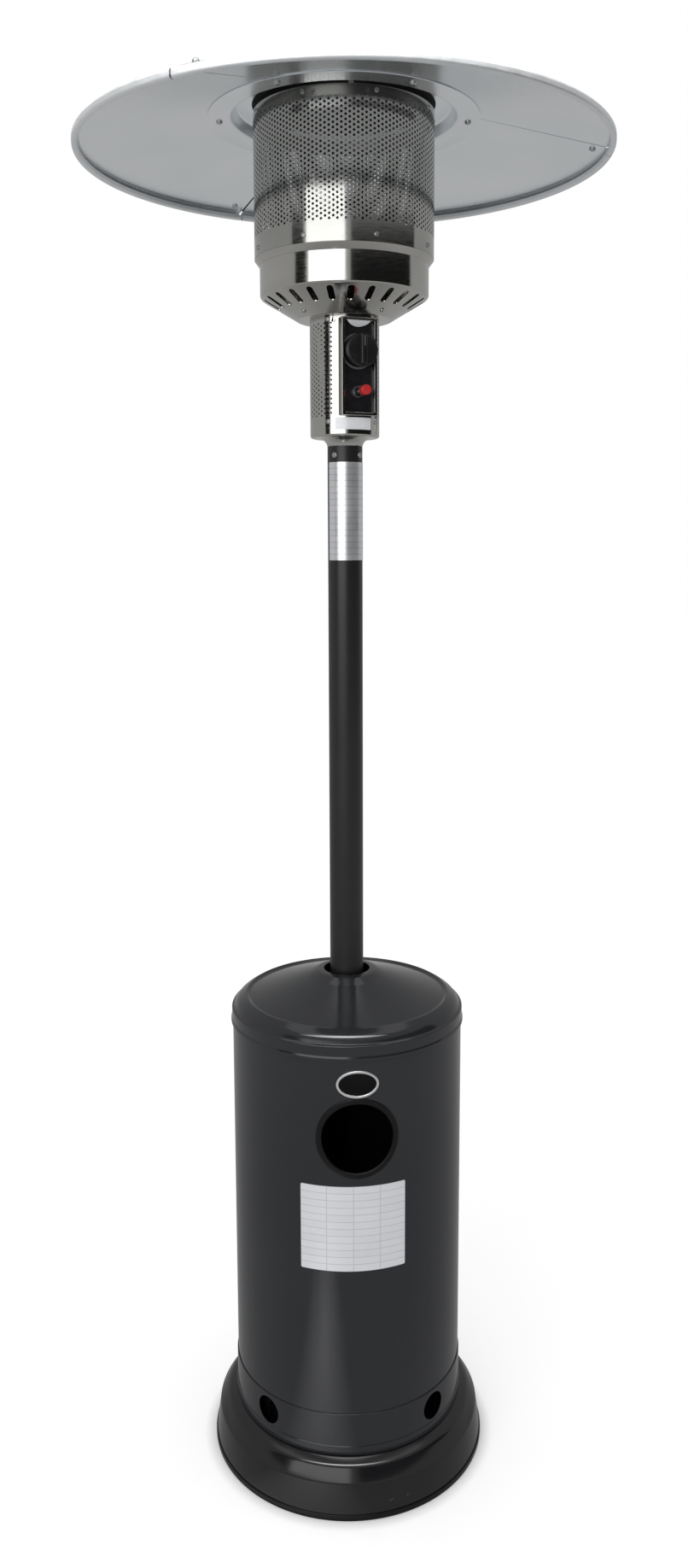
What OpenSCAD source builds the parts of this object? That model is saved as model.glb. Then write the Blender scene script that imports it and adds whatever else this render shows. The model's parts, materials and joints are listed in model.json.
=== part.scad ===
// Free-standing gas patio heater: a bottle housing on a round base, a post, a control box,
// a perforated emitter screen and a three-panel reflector.
// Millimetres. +Z is up, the origin is under the middle of the base, the housing's front faces -Y.

/* [Sheet and clearances] */
// Thickness of the steel sheet
sheet = 1.2; // [0.8:0.1:1.6]
// Thickness of the reflector's aluminium sheet
reflector_sheet = 1.0; // [0.6:0.1:1.4]
// Gap between two fixed pieces that fit together
fit_gap = 0.2; // [0.1:0.05:0.3]
// Gap between a moving piece and a fixed one
slide_gap = 0.3; // [0.2:0.05:0.5]
// Radial clearance of a turning or sliding shaft
run_gap = 0.05; // [0.02:0.01:0.1]

/* [Base] */
// Outside diameter of the base at the floor
base_d = 460; // [440:1:520]
// Height of the base's top face above the floor
base_h = 84; // [70:1:110]
// Lean of the base's skirt, in degrees
skirt_lean = 8; // [4:0.5:12]
// Drop from the base's top face to the bend at the foot of its shoulder
skirt_drop = 26; // [20:1:40]
// Radius of the bend at the foot of the shoulder
skirt_bend_r = 8; // [4:1:12]
// Drop from the base's top face to the bend at the head of its shoulder
crown_drop = 5; // [3:0.5:10]
// Radius of the bend at the head of the shoulder
crown_bend_r = 14; // [8:1:20]
// Place of that bend between the top face's rim and the skirt, as a share of the way
crown_share = 0.52; // [0.4:0.02:0.7]
// Width of the level rim round the top face
pan_rim_w = 3; // [2:0.5:5]
// Height of the rubber edge trim
trim_h = 10; // [8:0.5:16]
// Thickness of the edge trim's walls
trim_wall = 1.6; // [1:0.1:3]
// Height of the raised ring that keeps the housing in place
bead_h = 4; // [3:0.5:6]
// Radius of the holes for a wheel bracket
wheel_hole_r = 3.3; // [2.5:0.1:4.5]
// Height of the wheel bracket's holes above the floor
wheel_hole_z = 26; // [22:1:40]
// Distance between the wheel bracket's holes
wheel_hole_pitch = 29; // [20:1:50]
// Direction of the wheel bracket, in degrees from the front
wheel_hole_turn = 16.5; // [0:0.5:60]

/* [Bottle housing] */
// Outside diameter of the housing
housing_d = 380; // [360:1:384]
// Height of the housing's wall
housing_h = 683.5; // [620:0.5:760]
// Height of the rolled hem at the housing's foot
hem_h = 15; // [10:1:20]
// How far the hem stands out from the wall
hem_out = 3; // [2:0.5:4]
// Height of the wider band at the housing's foot
band_h = 71; // [66:1:90]
// How far that band stands out from the wall
band_out = 1.5; // [1:0.1:2]
// Diameter of the vent holes
vent_d = 45; // [30:1:48]
// Height of the vent holes above the housing's foot
vent_z = 42; // [40:1:46]
// Direction of the first vent hole, in degrees from the front
vent_turn = 42; // [30:1:60]
// Diameter of the hand hole in the wall
hand_hole_d = 118; // [100:1:120]
// Drop from the top of the wall to the middle of the hand hole
hand_hole_drop = 148; // [147:1:170]
// How far the grommet's lips reach past the edge of the hand hole
grommet_lip = 5; // [4:0.5:6]
// Thickness of the grommet inside the hole
grommet_t = 2.5; // [2:0.5:5]
// Thickness of the grommet's lips
grommet_lip_t = 2; // [1:0.25:3]
// Width of the badge
badge_w = 66; // [50:1:80]
// Height of the badge
badge_h = 44; // [30:1:46]
// Width of the badge's rim
badge_rim_w = 4; // [2:0.5:6]
// Drop from the top of the wall to the middle of the badge
badge_drop = 59.5; // [52:0.5:60]
// Width of the rating plate, along the wall
plate_w = 169; // [120:1:200]
// Height of the rating plate
plate_h = 141; // [100:1:150]
// Drop from the top of the wall to the middle of the rating plate
plate_drop = 297; // [294:1:340]
// Direction of the rating plate's middle, in degrees from the front
plate_turn = -2; // [-30:1:30]
// Thickness of the plates
plate_t = 0.4; // [0.3:0.1:0.8]

/* [Housing cap] */
// Height of the cap's skirt below the top of the wall
cap_skirt = 22.5; // [16:0.5:28]
// Rise of the cap from the top of the wall to the rim of its hole
cap_rise = 60; // [50:1:80]
// How far the cap's shoulder stands in from the wall
cap_step = 3; // [2:0.5:4]
// Rise of the cap's shoulder from the step to its ridge
cap_shoulder_h = 18.5; // [14:0.5:24]
// How far the shoulder comes in from the step to its ridge
cap_shoulder_w = 20; // [16:0.5:26]
// Radius of the bend half-way up the shoulder
cap_shoulder_r = 24; // [16:1:30]
// Depth of the crease around the cap's cone
cap_crease = 3; // [2:0.5:5]
// Outside diameter of the raised boss around the post
cap_boss_d = 130; // [110:1:160]
// Height of the raised boss
cap_boss_h = 8; // [5:0.5:12]
// Diameter of the hole for the post
cap_hole_d = 76; // [66:1:90]

/* [Legs and post] */
// Width of the support straps
strap_w = 30; // [20:1:40]
// Thickness of the support straps
strap_t = 3; // [2:0.25:5]
// Room between the straps and the housing's wall
leg_room = 18; // [14:1:30]
// Length of a strap's foot
leg_foot = 33; // [30:1:40]
// Rise of a strap's sloping top
leg_slope_h = 33; // [25:1:60]
// Distance from a strap's outer face to its foot bolt
foot_bolt_in = 20; // [16:1:22]
// Diameter of the leg bolts
leg_bolt_d = 8; // [6:1:10]
// Diameter of the post
post_d = 55; // [50:0.5:60]
// Wall of the post
post_wall = 1.8; // [1.2:0.1:2.5]
// Length of the post
post_len = 906; // [700:1:1100]
// Diameter of the flange under the post
flange_d = 140; // [130:1:160]
// Thickness of that flange
flange_t = 4; // [3:0.5:6]
// Height of the flange's collar
collar_h = 26; // [15:1:40]
// Wall of the flange's collar
collar_wall = 4; // [3:0.5:6]
// Height of the foil plate on the post
post_plate_h = 152; // [100:1:180]
// Drop from the top of the post to the top of its foil plate
post_plate_drop = 25; // [22:1:40]
// Direction of the foil plate's middle, in degrees from the front
post_plate_turn = 22; // [-90:1:90]
// Drop from the top of the post to its screws
post_screw_drop = 14.4; // [10:0.2:20]
// Direction of the first post screw, in degrees from the front
post_screw_turn = -40; // [-90:1:90]

/* [Control box] */
// Diameter of the control box
box_d = 108; // [104:1:116]
// Height of the control box
box_h = 178; // [172:1:200]
// Turn of the control box, in degrees from the front
box_turn = 17.5; // [-45:0.5:45]
// Radius of the rounded edge around the box's foot
box_edge_r = 3.5; // [2:0.5:6]
// Height of the funnel between the post and the box
neck_h = 12; // [8:1:20]
// Diameter of the funnel's top
neck_top_d = 75; // [66:1:80]
// Bore of the neck, for the gas hose
neck_bore_d = 44; // [36:1:46]
// Length of the neck's spigot inside the post
spigot_len = 45; // [30:1:60]
// Width of the bezel
bezel_w = 57.5; // [56:0.5:60]
// Height of the bezel
bezel_h = 144.5; // [142:0.5:146]
// Height of the bezel's foot above the box's foot
bezel_z = 30.5; // [29:0.5:32]
// How far the bezel stands out from the box
bezel_out = 7; // [6:0.5:9]
// Width of the bezel's lip
bezel_lip = 5; // [3:0.25:6]
// Thickness of the control panel
panel_t = 2; // [1.5:0.25:3]
// Depth of the panel behind the bezel's front
panel_deep = 10; // [8:0.5:11]
// Width of the blank strip under the bezel, along the box
strip_plate_w = 59; // [40:1:64]
// Height of the blank strip
strip_plate_h = 18; // [12:1:20]
// Height of the strip's middle above the box's foot
strip_plate_z = 19; // [16:0.5:20]
// Direction of the strip's middle, in degrees from the front
strip_plate_turn = 11; // [0:1:20]
// Direction of the first box screw, in degrees from the front
box_screw_turn = -33; // [-40:1:-30]

/* [Knob and valve] */
// Diameter of the knob
knob_d = 50; // [40:0.5:52]
// Thickness of the knob's disc
knob_disc_t = 6; // [4:0.5:8]
// Height of the knob's grip
grip_h = 9; // [8:0.5:14]
// Width of the knob's grip
grip_w = 13; // [10:0.5:16]
// Height of the knob above the box's foot
knob_z = 126; // [120:1:128]
// Travel of the knob when it is pushed
knob_push = 4.5; // [3:0.5:4.5]
// Thickness of the dial ring behind the knob
dial_t = 1; // [0.6:0.1:1.2]
// Width of the dial ring
dial_w = 3; // [2:0.5:6]
// Diameter of the valve stem
stem_d = 6; // [5:0.5:8]
// Depth of the flat along the stem
stem_flat = 0.8; // [0.5:0.1:1.2]
// Diameter of the valve plug
plug_d = 16; // [14:0.5:18]
// Length of the valve plug
plug_len = 19.7; // [18:0.1:22]
// Diameter of the valve body
valve_d = 30; // [28:0.5:36]
// Width of the valve's rear block
valve_block = 24; // [20:1:28]
// Thickness of the valve's bonnet
bonnet_t = 6.7; // [6:0.1:8]
// Diameter of the hose tail on the gas inlet
inlet_d = 9; // [8:0.5:10]
// Length of the hose tail
inlet_len = 22; // [18:1:30]

/* [Igniter] */
// Height of the igniter above the box's foot
igniter_z = 66; // [62:1:70]
// Travel of the igniter's button
igniter_push = 8; // [5:0.5:9]
// Diameter of the igniter's body
igniter_d = 18; // [16:0.5:22]
// Length of the igniter's body behind the panel
igniter_len = 29; // [28:1:36]
// Diameter of the igniter's threaded neck
igniter_neck_d = 12.8; // [11:0.2:14]
// Length of the threaded neck in front of the panel
igniter_neck_len = 4; // [4:0.5:6]
// Diameter of the nut on the threaded neck
igniter_nut_d = 18; // [17:0.5:20]
// Diameter of the button's shank
shank_d = 6; // [5:0.5:7]
// Length of shank between the neck and the red cap
shank_show = 17.5; // [11:0.5:22]
// Diameter of the red cap
cap_d = 15; // [12:0.5:18]
// Length of the red cap
cap_len = 15; // [13:0.5:20]

/* [Burner and emitter screen] */
// Diameter of the flat under the burner dish
dish_flat_d = 146; // [136:1:150]
// Rise of the burner dish from its flat to its rim
dish_rise = 34; // [28:1:44]
// Diameter of the burner cup
cup_d = 260; // [250:1:266]
// Height of the burner cup's wall
cup_h = 45; // [36:1:60]
// Number of air slots in the dish
slot_count = 24; // [16:1:28]
// Width of an air slot
slot_w = 10; // [7:0.5:12]
// Length of an air slot
slot_len = 27; // [20:1:28]
// Distance from the cup's wall to the outer end of a slot
slot_in = 6; // [5:0.5:10]
// Rise of the sloping ledge under the screen
ledge_h = 10; // [7:0.5:14]
// Diameter of the emitter screen
screen_d = 275.4; // [274:0.2:290]
// Height of the emitter screen
screen_h = 212; // [190:1:240]
// Width of the flanges inside the screen's ends
screen_flange = 16; // [14:1:20]
// Width of the ring inside the screen's top
top_ring_w = 25; // [22:1:32]
// Diameter of the burner head
burner_d = 140; // [120:1:140]
// Height of the burner head
burner_h = 28; // [20:1:36]
// Height of the burner head above the dish
burner_lift = 92; // [88:1:100]
// Diameter of the burner's mixing tube
mixer_d = 44; // [42:1:48]

/* [Reflector] */
// Diameter of the reflector
reflector_d = 813; // [760:1:860]
// Rise of the reflector's cone
reflector_rise = 45; // [35:1:60]
// Height of the turned-down rim
rim_h = 13.5; // [8:0.5:18]
// Radius of the bend above the rim
rim_bend = 3; // [2:0.5:4]
// Diameter of the reflector hub's flange
hub_d = 412; // [400:1:440]
// Width of that flange, from its edge to the hub's step
hub_flange_w = 35; // [30:1:40]
// Height of the hub's step
hub_step_h = 22; // [19:1:30]
// Lean of the hub's step, as a run outwards
hub_step_run = 6; // [4:0.5:8]
// Gap between the screen's top and the hub's disc
hub_gap = 13; // [11:0.5:18]
// Direction of the first seam, in degrees from +X
seam_turn = -4; // [-60:1:60]
// Angle by which the panels overlap, in degrees
seam_lap = 6; // [5:0.5:8]
// Distance from the rim to the seam screws
seam_screw_in = 27; // [20:1:40]
// Diameter of the reflector's screws
reflector_screw_d = 6; // [5:0.5:6]

/* [Hidden] */
$fn = 96;

paint = "#35363a";
dark_paint = "#26272a";
steel = "#b9bbbc";
dull_steel = "#8d8f90";
aluminium = "#a3aaae";
rubber = "#151516";
brass = "#b08d3f";

// Points of an arc around a centre, from one angle to another
function arc(centre, r, from, to, steps) =
    [for (i = [0:steps]) let (a = from + (to - from) * i / steps) centre + r * [cos(a), sin(a)]];

// Points of the arc that rounds a corner between two neighbours
function bend(before, corner, after, r, steps) =
    let (u = (before - corner) / norm(before - corner))
    let (v = (after - corner) / norm(after - corner))
    let (half = acos(u * v) / 2)
    let (centre = corner + (u + v) / norm(u + v) * r / sin(half))
    let (out = corner + u * r / tan(half) - centre)
    let (from = atan2(out[1], out[0]))
    let (turn = sign(cross(v, u)) * (180 - 2 * half))
    arc(centre, r, from, from + turn, steps);

// The unit normal to the left of the line from a to b
function left_normal(a, b) = let (d = (b - a) / norm(b - a)) [-d[1], d[0]];

// The step at point i that moves a line sideways by one unit
function mitre(line, i) =
    let (before = i > 0 ? left_normal(line[i - 1], line[i]) : left_normal(line[0], line[1]))
    let (after = i < len(line) - 1 ? left_normal(line[i], line[i + 1]) : before)
    (before + after) / (1 + before * after);

// The closed outline of a sheet of thickness t on the left of a line
function skin(line, t) =
    concat(line, [for (i = [len(line) - 1:-1:0]) line[i] + t * mitre(line, i)]);

// Height of the reflector's upper face at a radius
function panel_z(r) = panel_top_z - max(0, r - cone_r) * reflector_slope;

// Base
skirt_r = base_d / 2 - trim_wall - fit_gap;
trim_floor = 3;
skirt_straight = trim_h + 2;
skirt_top_z = base_h - skirt_drop;
skirt_top_r = skirt_r - (skirt_top_z - skirt_straight) * tan(skirt_lean);
housing_r = housing_d / 2;
bead_r = housing_r - sheet - 0.8;
bead_slope = 1.5;
bead_top = 3.5;
deck_r = bead_r + 1;
pan_edge = [deck_r + fit_gap, base_h];
skirt_foot = [skirt_r, skirt_straight];
skirt_head = [skirt_top_r, skirt_top_z];
pan_rim = pan_edge + [pan_rim_w, 0];
crown = [pan_rim[0] + crown_share * (skirt_top_r - pan_rim[0]), base_h - crown_drop];
base_line = concat(
    [[skirt_r, trim_floor], skirt_foot],
    bend(skirt_foot, skirt_head, crown, skirt_bend_r, 5),
    bend(skirt_head, crown, pan_rim, crown_bend_r, 8),
    [pan_rim, pan_edge]
);
deck_line = [
    [deck_r, base_h],
    [bead_r, base_h],
    [bead_r - bead_slope, base_h + bead_h],
    [bead_r - bead_slope - bead_top, base_h + bead_h],
    [bead_r - 2 * bead_slope - bead_top, base_h],
    [0, base_h]
];
wheel_hole_reach = skirt_r - (wheel_hole_z - skirt_straight) * tan(skirt_lean);
wheel_hole_step = asin(wheel_hole_pitch / 2 / wheel_hole_reach);

// Bottle housing
housing_z = base_h + slide_gap;
wall_top = housing_z + housing_h;
hem_bend = 2;
band_lap = 6;
band_top = housing_z + band_h;
band_r = housing_r + band_out;
band_line = [
    [housing_r + hem_out - hem_bend, housing_z],
    [housing_r + hem_out, housing_z + hem_bend],
    [housing_r + hem_out, housing_z + hem_h - hem_bend],
    [band_r, housing_z + hem_h],
    [band_r, band_top]
];
hand_hole_z = wall_top - hand_hole_drop;
badge_z = wall_top - badge_drop;
plate_z = wall_top - plate_drop;
vent_turns = [for (i = [0:3]) vent_turn + 90 * i];

// Housing cap
cap_r = housing_r + fit_gap + sheet;
cap_step_h = 2;
cap_foot = [housing_r - cap_step, wall_top + 1 + cap_step_h];
cap_bend = cap_foot + [-cap_shoulder_w / 4, cap_shoulder_h / 2];
cap_ridge = cap_foot + [-cap_shoulder_w, cap_shoulder_h];
cap_top = wall_top + cap_rise;
cap_boss_r = cap_boss_d / 2;
cap_hole_r = cap_hole_d / 2;
cap_lip = 4;
cap_line = concat(
    [[cap_r, wall_top - cap_skirt], [cap_r, wall_top + 1], cap_foot],
    bend(cap_foot, cap_bend, cap_ridge, cap_shoulder_r, 6),
    [
        cap_ridge,
        cap_ridge + [-2 * cap_crease, -cap_crease],
        [cap_boss_r, cap_top - cap_boss_h],
        [cap_boss_r - 2 * cap_boss_h, cap_top - 1],
        [cap_hole_r + cap_lip, cap_top],
        [cap_hole_r, cap_top]
    ]
);

// Legs, flange and post
leg_r = housing_r - sheet - leg_room;
flange_z = wall_top;
flange_r = flange_d / 2;
post_r = post_d / 2;
collar_r = post_r + fit_gap + collar_wall;
post_z = flange_z + flange_t;
post_top = post_z + post_len;
leg_line = [
    [leg_r - leg_foot, base_h],
    [leg_r, base_h],
    [leg_r, flange_z - leg_slope_h],
    [flange_r - 2, flange_z],
    [post_r + 6, flange_z]
];
foot_bolt_r = leg_r - foot_bolt_in;
flange_bolt_r = (post_r + collar_wall + flange_r) / 2 + 1;
leg_bolt_r = leg_bolt_d / 2;
bolt_hole_r = leg_bolt_r + 0.3;
bolt_head_h = 0.65 * leg_bolt_d;
leg_nut_h = 0.8 * leg_bolt_d;
bolt_hex_r = 0.94 * leg_bolt_d;
leg_turns = [210, 330, 90];

// Neck and control box
box_z = post_top + neck_h;
box_top = box_z + box_h;
box_r = box_d / 2;
neck_r = neck_bore_d / 2;
spigot_r = post_r - post_wall - fit_gap;
spigot_z = post_top - spigot_len;
bezel_front = box_r + bezel_out;
panel_front = bezel_front - panel_deep;
panel_back = panel_front - panel_t;
bezel_mid_z = box_z + bezel_z + bezel_h / 2;
panel_w = bezel_w - 2 * (sheet + fit_gap);
panel_h = bezel_h - 2 * (sheet + fit_gap);
window_w = 2 * sqrt(box_r * box_r - pow(panel_back - 1, 2));
window_h = panel_h + 2 * slide_gap;
box_line = concat(
    [[neck_r, box_z]],
    arc([box_r - box_edge_r, box_z + box_edge_r], box_edge_r, 270, 360, 6),
    [[box_r, box_top], [0, box_top]]
);
box_screw_zs = [box_z + 22, box_top - 4.5];

// Screws
screw_r = 1.8;
screw_hole_r = screw_r + 0.2;
screw_head_r = 3.4;
screw_head_h = 2;
screw_len = 5;
post_screw_r = 2.4;
post_screw_head_r = 4.5;

// Knob and valve, along the control's own axis
knob_h = box_z + knob_z;
stem_r = stem_d / 2;
plug_r = plug_d / 2;
valve_r = valve_d / 2;
knob_back = bezel_front + knob_push + 0.5;
knob_front = knob_back + knob_disc_t + grip_h;
stem_end = knob_front - 5;
bonnet_back = panel_back - bonnet_t;
plug_front = bonnet_back - slide_gap;
plug_back = plug_front - plug_len;
stem_start = plug_back + 3 + knob_push + 1;
valve_back = plug_back - slide_gap - 4;
block_half = valve_block / 2;
inlet_top = knob_h - block_half;
inlet_hex_h = 9;
inlet_shoulder = 40;
inlet_z = inlet_top - inlet_shoulder - inlet_len;

// Igniter
igniter_h = box_z + igniter_z;
igniter_r = igniter_d / 2;
shank_r = shank_d / 2;
neck_front = panel_front + igniter_neck_len;
cap_back = neck_front + shank_show;
shank_start = panel_back - igniter_len + 4 + igniter_push;

// Burner
dish_z = box_top;
cup_r = cup_d / 2;
dish_flat_r = dish_flat_d / 2;
cup_z = dish_z + dish_rise;
cup_top = cup_z + cup_h;
cup_line = [[0, dish_z], [dish_flat_r, dish_z], [cup_r, cup_z], [cup_r, cup_top]];
dish_lean = atan(dish_rise / (cup_r - dish_flat_r));
dish_floor = dish_z + sheet;
burner_z = dish_floor + burner_lift;
burner_r = burner_d / 2;
mixer_r = mixer_d / 2;
pipe_r = 5;
pipe_bore = 3;
injector_r = 8;
injector_z = dish_floor + 7;
pilot_r = 2;
pilot_bend = 8;
pilot_in = 30;
pilot_out = burner_r + 12;
pilot_plate_t = 2;
dish_screw_r = dish_flat_r + 10;
dish_screw_turns = [-52, 38, 128, 218];

// Emitter screen
screen_r = screen_d / 2;
screen_z = cup_top + ledge_h;
screen_top = screen_z + screen_h;
flange_in_r = screen_r - sheet - fit_gap;
screen_screw_zs = [screen_z + screen_flange * 0.65, screen_top - 7];
screen_screw_turns = [for (i = [0:7]) 15 + 45 * i];
top_ring_z = screen_top - 2;

// Reflector
hub_r = hub_d / 2;
hub_step_r = hub_r - hub_flange_w;
hub_disc_z = screen_top + hub_gap;
hub_flange_z = hub_disc_z - hub_step_h;
reflector_r = reflector_d / 2;
panel_top_z = hub_flange_z + sheet + fit_gap + reflector_sheet;
rim_top_z = panel_top_z - reflector_rise;
cone_r = hub_r + 1;
rim_in_r = reflector_r - rim_bend;
reflector_slope = (panel_top_z - rim_top_z) / (rim_in_r - cone_r);
panel_in_r = hub_step_r + 4;
lap_lift = reflector_sheet + fit_gap;
lap_out_r = reflector_r - 11;
panel_line = [
    [reflector_r, rim_top_z - rim_h],
    [reflector_r, rim_top_z - rim_bend],
    [rim_in_r, rim_top_z],
    [cone_r, panel_top_z],
    [panel_in_r, panel_top_z]
];
joggle_step = 0.05;
joggle_in = 0.5;
lap_line = [for (r = [lap_out_r, cone_r, panel_in_r]) [r, panel_z(r) + lap_lift]];
joggle_line = [for (r = [lap_out_r - joggle_in, cone_r, panel_in_r + joggle_in])
    [r, panel_z(r) + lap_lift + joggle_step]];
hub_line = [
    [hub_r, hub_flange_z + sheet],
    [hub_step_r, hub_flange_z + sheet],
    [hub_step_r - hub_step_run, hub_disc_z + sheet],
    [0, hub_disc_z + sheet]
];
seam_gap = 0.1;
joggle = 0.4;
panel_screw_r = (hub_r + hub_step_r) / 2;
seam_screw_r = reflector_r - seam_screw_in;
seam_screw_z = panel_z(seam_screw_r);
reflector_lean = atan(reflector_slope);
stud_r = reflector_screw_d / 2;
stud_hole_r = stud_r + 0.3;
stud_place_r = flange_in_r - top_ring_w / 2 - 1;
nut_hex_r = 0.96 * reflector_screw_d;
nut_hex_h = 0.8 * reflector_screw_d;
nut_deep = 1.2 * reflector_screw_d;
stud_turns = [30, 150, 270];

// A round bar along Z from one height to another
module bar(r, from, to) {
    translate([0, 0, from])
        cylinder(h = to - from, r = r);
}

// A tube along Z
module tube(r_out, r_in, from, to) {
    difference() {
        bar(r_out, from, to);
        bar(r_in, from - 1, to + 1);
    }
}

// A sheet turned about the Z axis from its outline
module spun(line, t, angle = 360) {
    rotate_extrude(angle = angle)
        polygon(skin(line, t));
}

// Places its children at the front of a round wall, facing out: their +Z points away from the axis
module facing(turn, z) {
    rotate([0, 0, turn])
        translate([0, 0, z])
            rotate([90, 0, 0])
                children();
}

// The control's own axis: +Z of the children points out of the panel, from the box's middle
module on_panel(z) {
    facing(box_turn, z)
        children();
}

// A slot along X with round ends
module slot(length, w) {
    square([length - w, w], center = true);
    for (x = [-1, 1])
        translate([x * (length - w) / 2, 0])
            circle(w / 2);
}

// An ellipse
module oval(w, h) {
    polygon([for (i = [0:47]) [w / 2 * cos(i * 7.5), h / 2 * sin(i * 7.5)]]);
}

// A pan-head screw: its head stands on z = 0 and points up, its shank goes down
module pan_screw(r, head_r, head_h, length) {
    rotate_extrude()
        polygon([
            [0, -length], [r, -length], [r, 0], [head_r, 0],
            [head_r, head_h * 0.5], [head_r * 0.7, head_h], [0, head_h]
        ]);
}

// A hexagon bolt: its head stands on z = 0, its shank goes down
module hex_bolt(r, hex_r, head_h, length) {
    cylinder(h = head_h, r = hex_r, $fn = 6);
    bar(r, -length, 0);
}

// A hexagon nut below z = 0
module hex_nut(r, hex_r, h) {
    difference() {
        translate([0, 0, -h])
            cylinder(h = h, r = hex_r, $fn = 6);
        bar(r, -h - 1, 1);
    }
}

// A dome nut that stands on z = 0
module dome_nut() {
    dome_r = nut_hex_r * 0.84;
    difference() {
        union() {
            cylinder(h = nut_hex_h, r = nut_hex_r, $fn = 6);
            rotate_extrude()
                polygon(concat(
                    [[0, nut_hex_h / 2], [dome_r, nut_hex_h / 2]],
                    arc([0, nut_hex_h], dome_r, 0, 90, 6)
                ));
        }
        bar(stud_r + run_gap, -1, nut_deep);
    }
}

// A round shaft with a flat along one side
module flat_shaft(r, flat, from, to) {
    difference() {
        bar(r, from, to);
        translate([-r, r - flat, from - 1])
            cube([2 * r, r, to - from + 2]);
    }
}

// Base

module base_pan() {
    color(dark_paint)
        difference() {
            spun(base_line, sheet);
            for (side = [-1, 1])
                facing(wheel_hole_turn + side * wheel_hole_step, wheel_hole_z)
                    translate([0, 0, wheel_hole_reach])
                        rotate([-skirt_lean, 0, 0])
                            bar(wheel_hole_r, -10, 10);
        }
}

module base_deck() {
    color(dark_paint)
        difference() {
            spun(deck_line, sheet);
            for (turn = leg_turns)
                rotate([0, 0, turn])
                    translate([foot_bolt_r, 0, 0])
                        bar(bolt_hole_r, base_h - sheet - 1, base_h + 1);
        }
}

module base_edge_trim() {
    trim_w = 2 * trim_wall + sheet + 2 * fit_gap;
    color(rubber)
        rotate_extrude()
            difference() {
                translate([base_d / 2 - trim_w, 0])
                    square([trim_w, trim_h]);
                translate([skirt_r - sheet - fit_gap, trim_floor])
                    square([sheet + 2 * fit_gap, trim_h]);
            }
}

// Legs, flange and post

module support_leg(turn) {
    color(dark_paint)
        rotate([0, 0, turn])
            difference() {
                rotate([90, 0, 0])
                    translate([0, 0, -strap_w / 2])
                        linear_extrude(strap_w)
                            polygon(skin(leg_line, strap_t));
                translate([foot_bolt_r, 0, 0])
                    bar(bolt_hole_r, base_h - 1, base_h + strap_t + 1);
                translate([flange_bolt_r, 0, 0])
                    bar(bolt_hole_r, flange_z - strap_t - 1, flange_z + 1);
            }
}

module leg_bolts() {
    color(steel)
        for (turn = leg_turns)
            rotate([0, 0, turn]) {
                translate([foot_bolt_r, 0, base_h + strap_t])
                    hex_bolt(leg_bolt_r, bolt_hex_r, bolt_head_h, strap_t + sheet + leg_nut_h + 2);
                translate([flange_bolt_r, 0, post_z])
                    hex_bolt(leg_bolt_r, bolt_hex_r, bolt_head_h, flange_t + strap_t + leg_nut_h + 2);
            }
}

module leg_nuts() {
    color(steel)
        for (turn = leg_turns)
            rotate([0, 0, turn]) {
                translate([foot_bolt_r, 0, base_h - sheet])
                    hex_nut(leg_bolt_r + run_gap, bolt_hex_r, leg_nut_h);
                translate([flange_bolt_r, 0, flange_z - strap_t])
                    hex_nut(leg_bolt_r + run_gap, bolt_hex_r, leg_nut_h);
            }
}

module post_flange() {
    color(dark_paint)
        difference() {
            union() {
                bar(flange_r, flange_z, post_z);
                tube(collar_r, collar_r - collar_wall, flange_z + flange_t / 2, post_z + collar_h);
            }
            bar(neck_r, flange_z - 1, post_z + 1);
            for (turn = leg_turns)
                rotate([0, 0, turn])
                    translate([flange_bolt_r, 0, 0])
                        bar(bolt_hole_r, flange_z - 1, post_z + 1);
        }
}

module post_screw_places() {
    for (i = [0:3])
        facing(post_screw_turn + 90 * i, post_top - post_screw_drop)
            children();
}

module post() {
    color(paint)
        difference() {
            tube(post_r, post_r - post_wall, post_z, post_top);
            post_screw_places()
                bar(post_screw_r + fit_gap, post_r - post_wall - 1, post_r + 1);
        }
}

module post_screws() {
    color(steel)
        post_screw_places()
            translate([0, 0, post_r])
                pan_screw(post_screw_r, post_screw_head_r, 2.4, post_wall + 4);
}

module post_plate() {
    plate_top = post_top - post_plate_drop;
    color("#c9ccce")
        rotate([0, 0, post_plate_turn - 180])
            rotate_extrude(angle = 180)
                translate([post_r + fit_gap / 2, plate_top - post_plate_h])
                    square([plate_t, post_plate_h]);
}

// Bottle housing

module tank_housing() {
    color(paint)
        difference() {
            tube(housing_r, housing_r - sheet, band_top - band_lap, wall_top);
            facing(0, hand_hole_z)
                bar(hand_hole_d / 2, housing_r - 40, housing_r + 20);
        }
}

module housing_band() {
    color(paint)
        difference() {
            spun(band_line, sheet);
            for (turn = vent_turns)
                facing(turn, housing_z + vent_z)
                    bar(vent_d / 2, housing_r - 20, housing_r + 20);
        }
}

module housing_cap() {
    color(paint)
        spun(cap_line, sheet);
}

module hand_hole_grommet() {
    hole_r = hand_hole_d / 2;
    color(rubber)
        difference() {
            intersection() {
                tube(
                    housing_r + grommet_lip_t, housing_r - sheet - grommet_lip_t,
                    hand_hole_z - housing_r, hand_hole_z + housing_r
                );
                facing(0, hand_hole_z)
                    tube(hole_r + grommet_lip, hole_r - fit_gap - grommet_t, 0, housing_r + 20);
            }
            difference() {
                tube(
                    housing_r + fit_gap, housing_r - sheet - fit_gap,
                    hand_hole_z - housing_r, hand_hole_z + housing_r
                );
                facing(0, hand_hole_z)
                    bar(hole_r - fit_gap, 0, housing_r + 20);
            }
        }
}

// A thin piece that follows the housing's wall, cut to the outline of its children
module on_wall(z, from, thick) {
    intersection() {
        tube(housing_r + from + thick, housing_r + from, z - badge_h, z + badge_h);
        facing(0, z)
            linear_extrude(housing_r + 20)
                children();
    }
}

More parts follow.
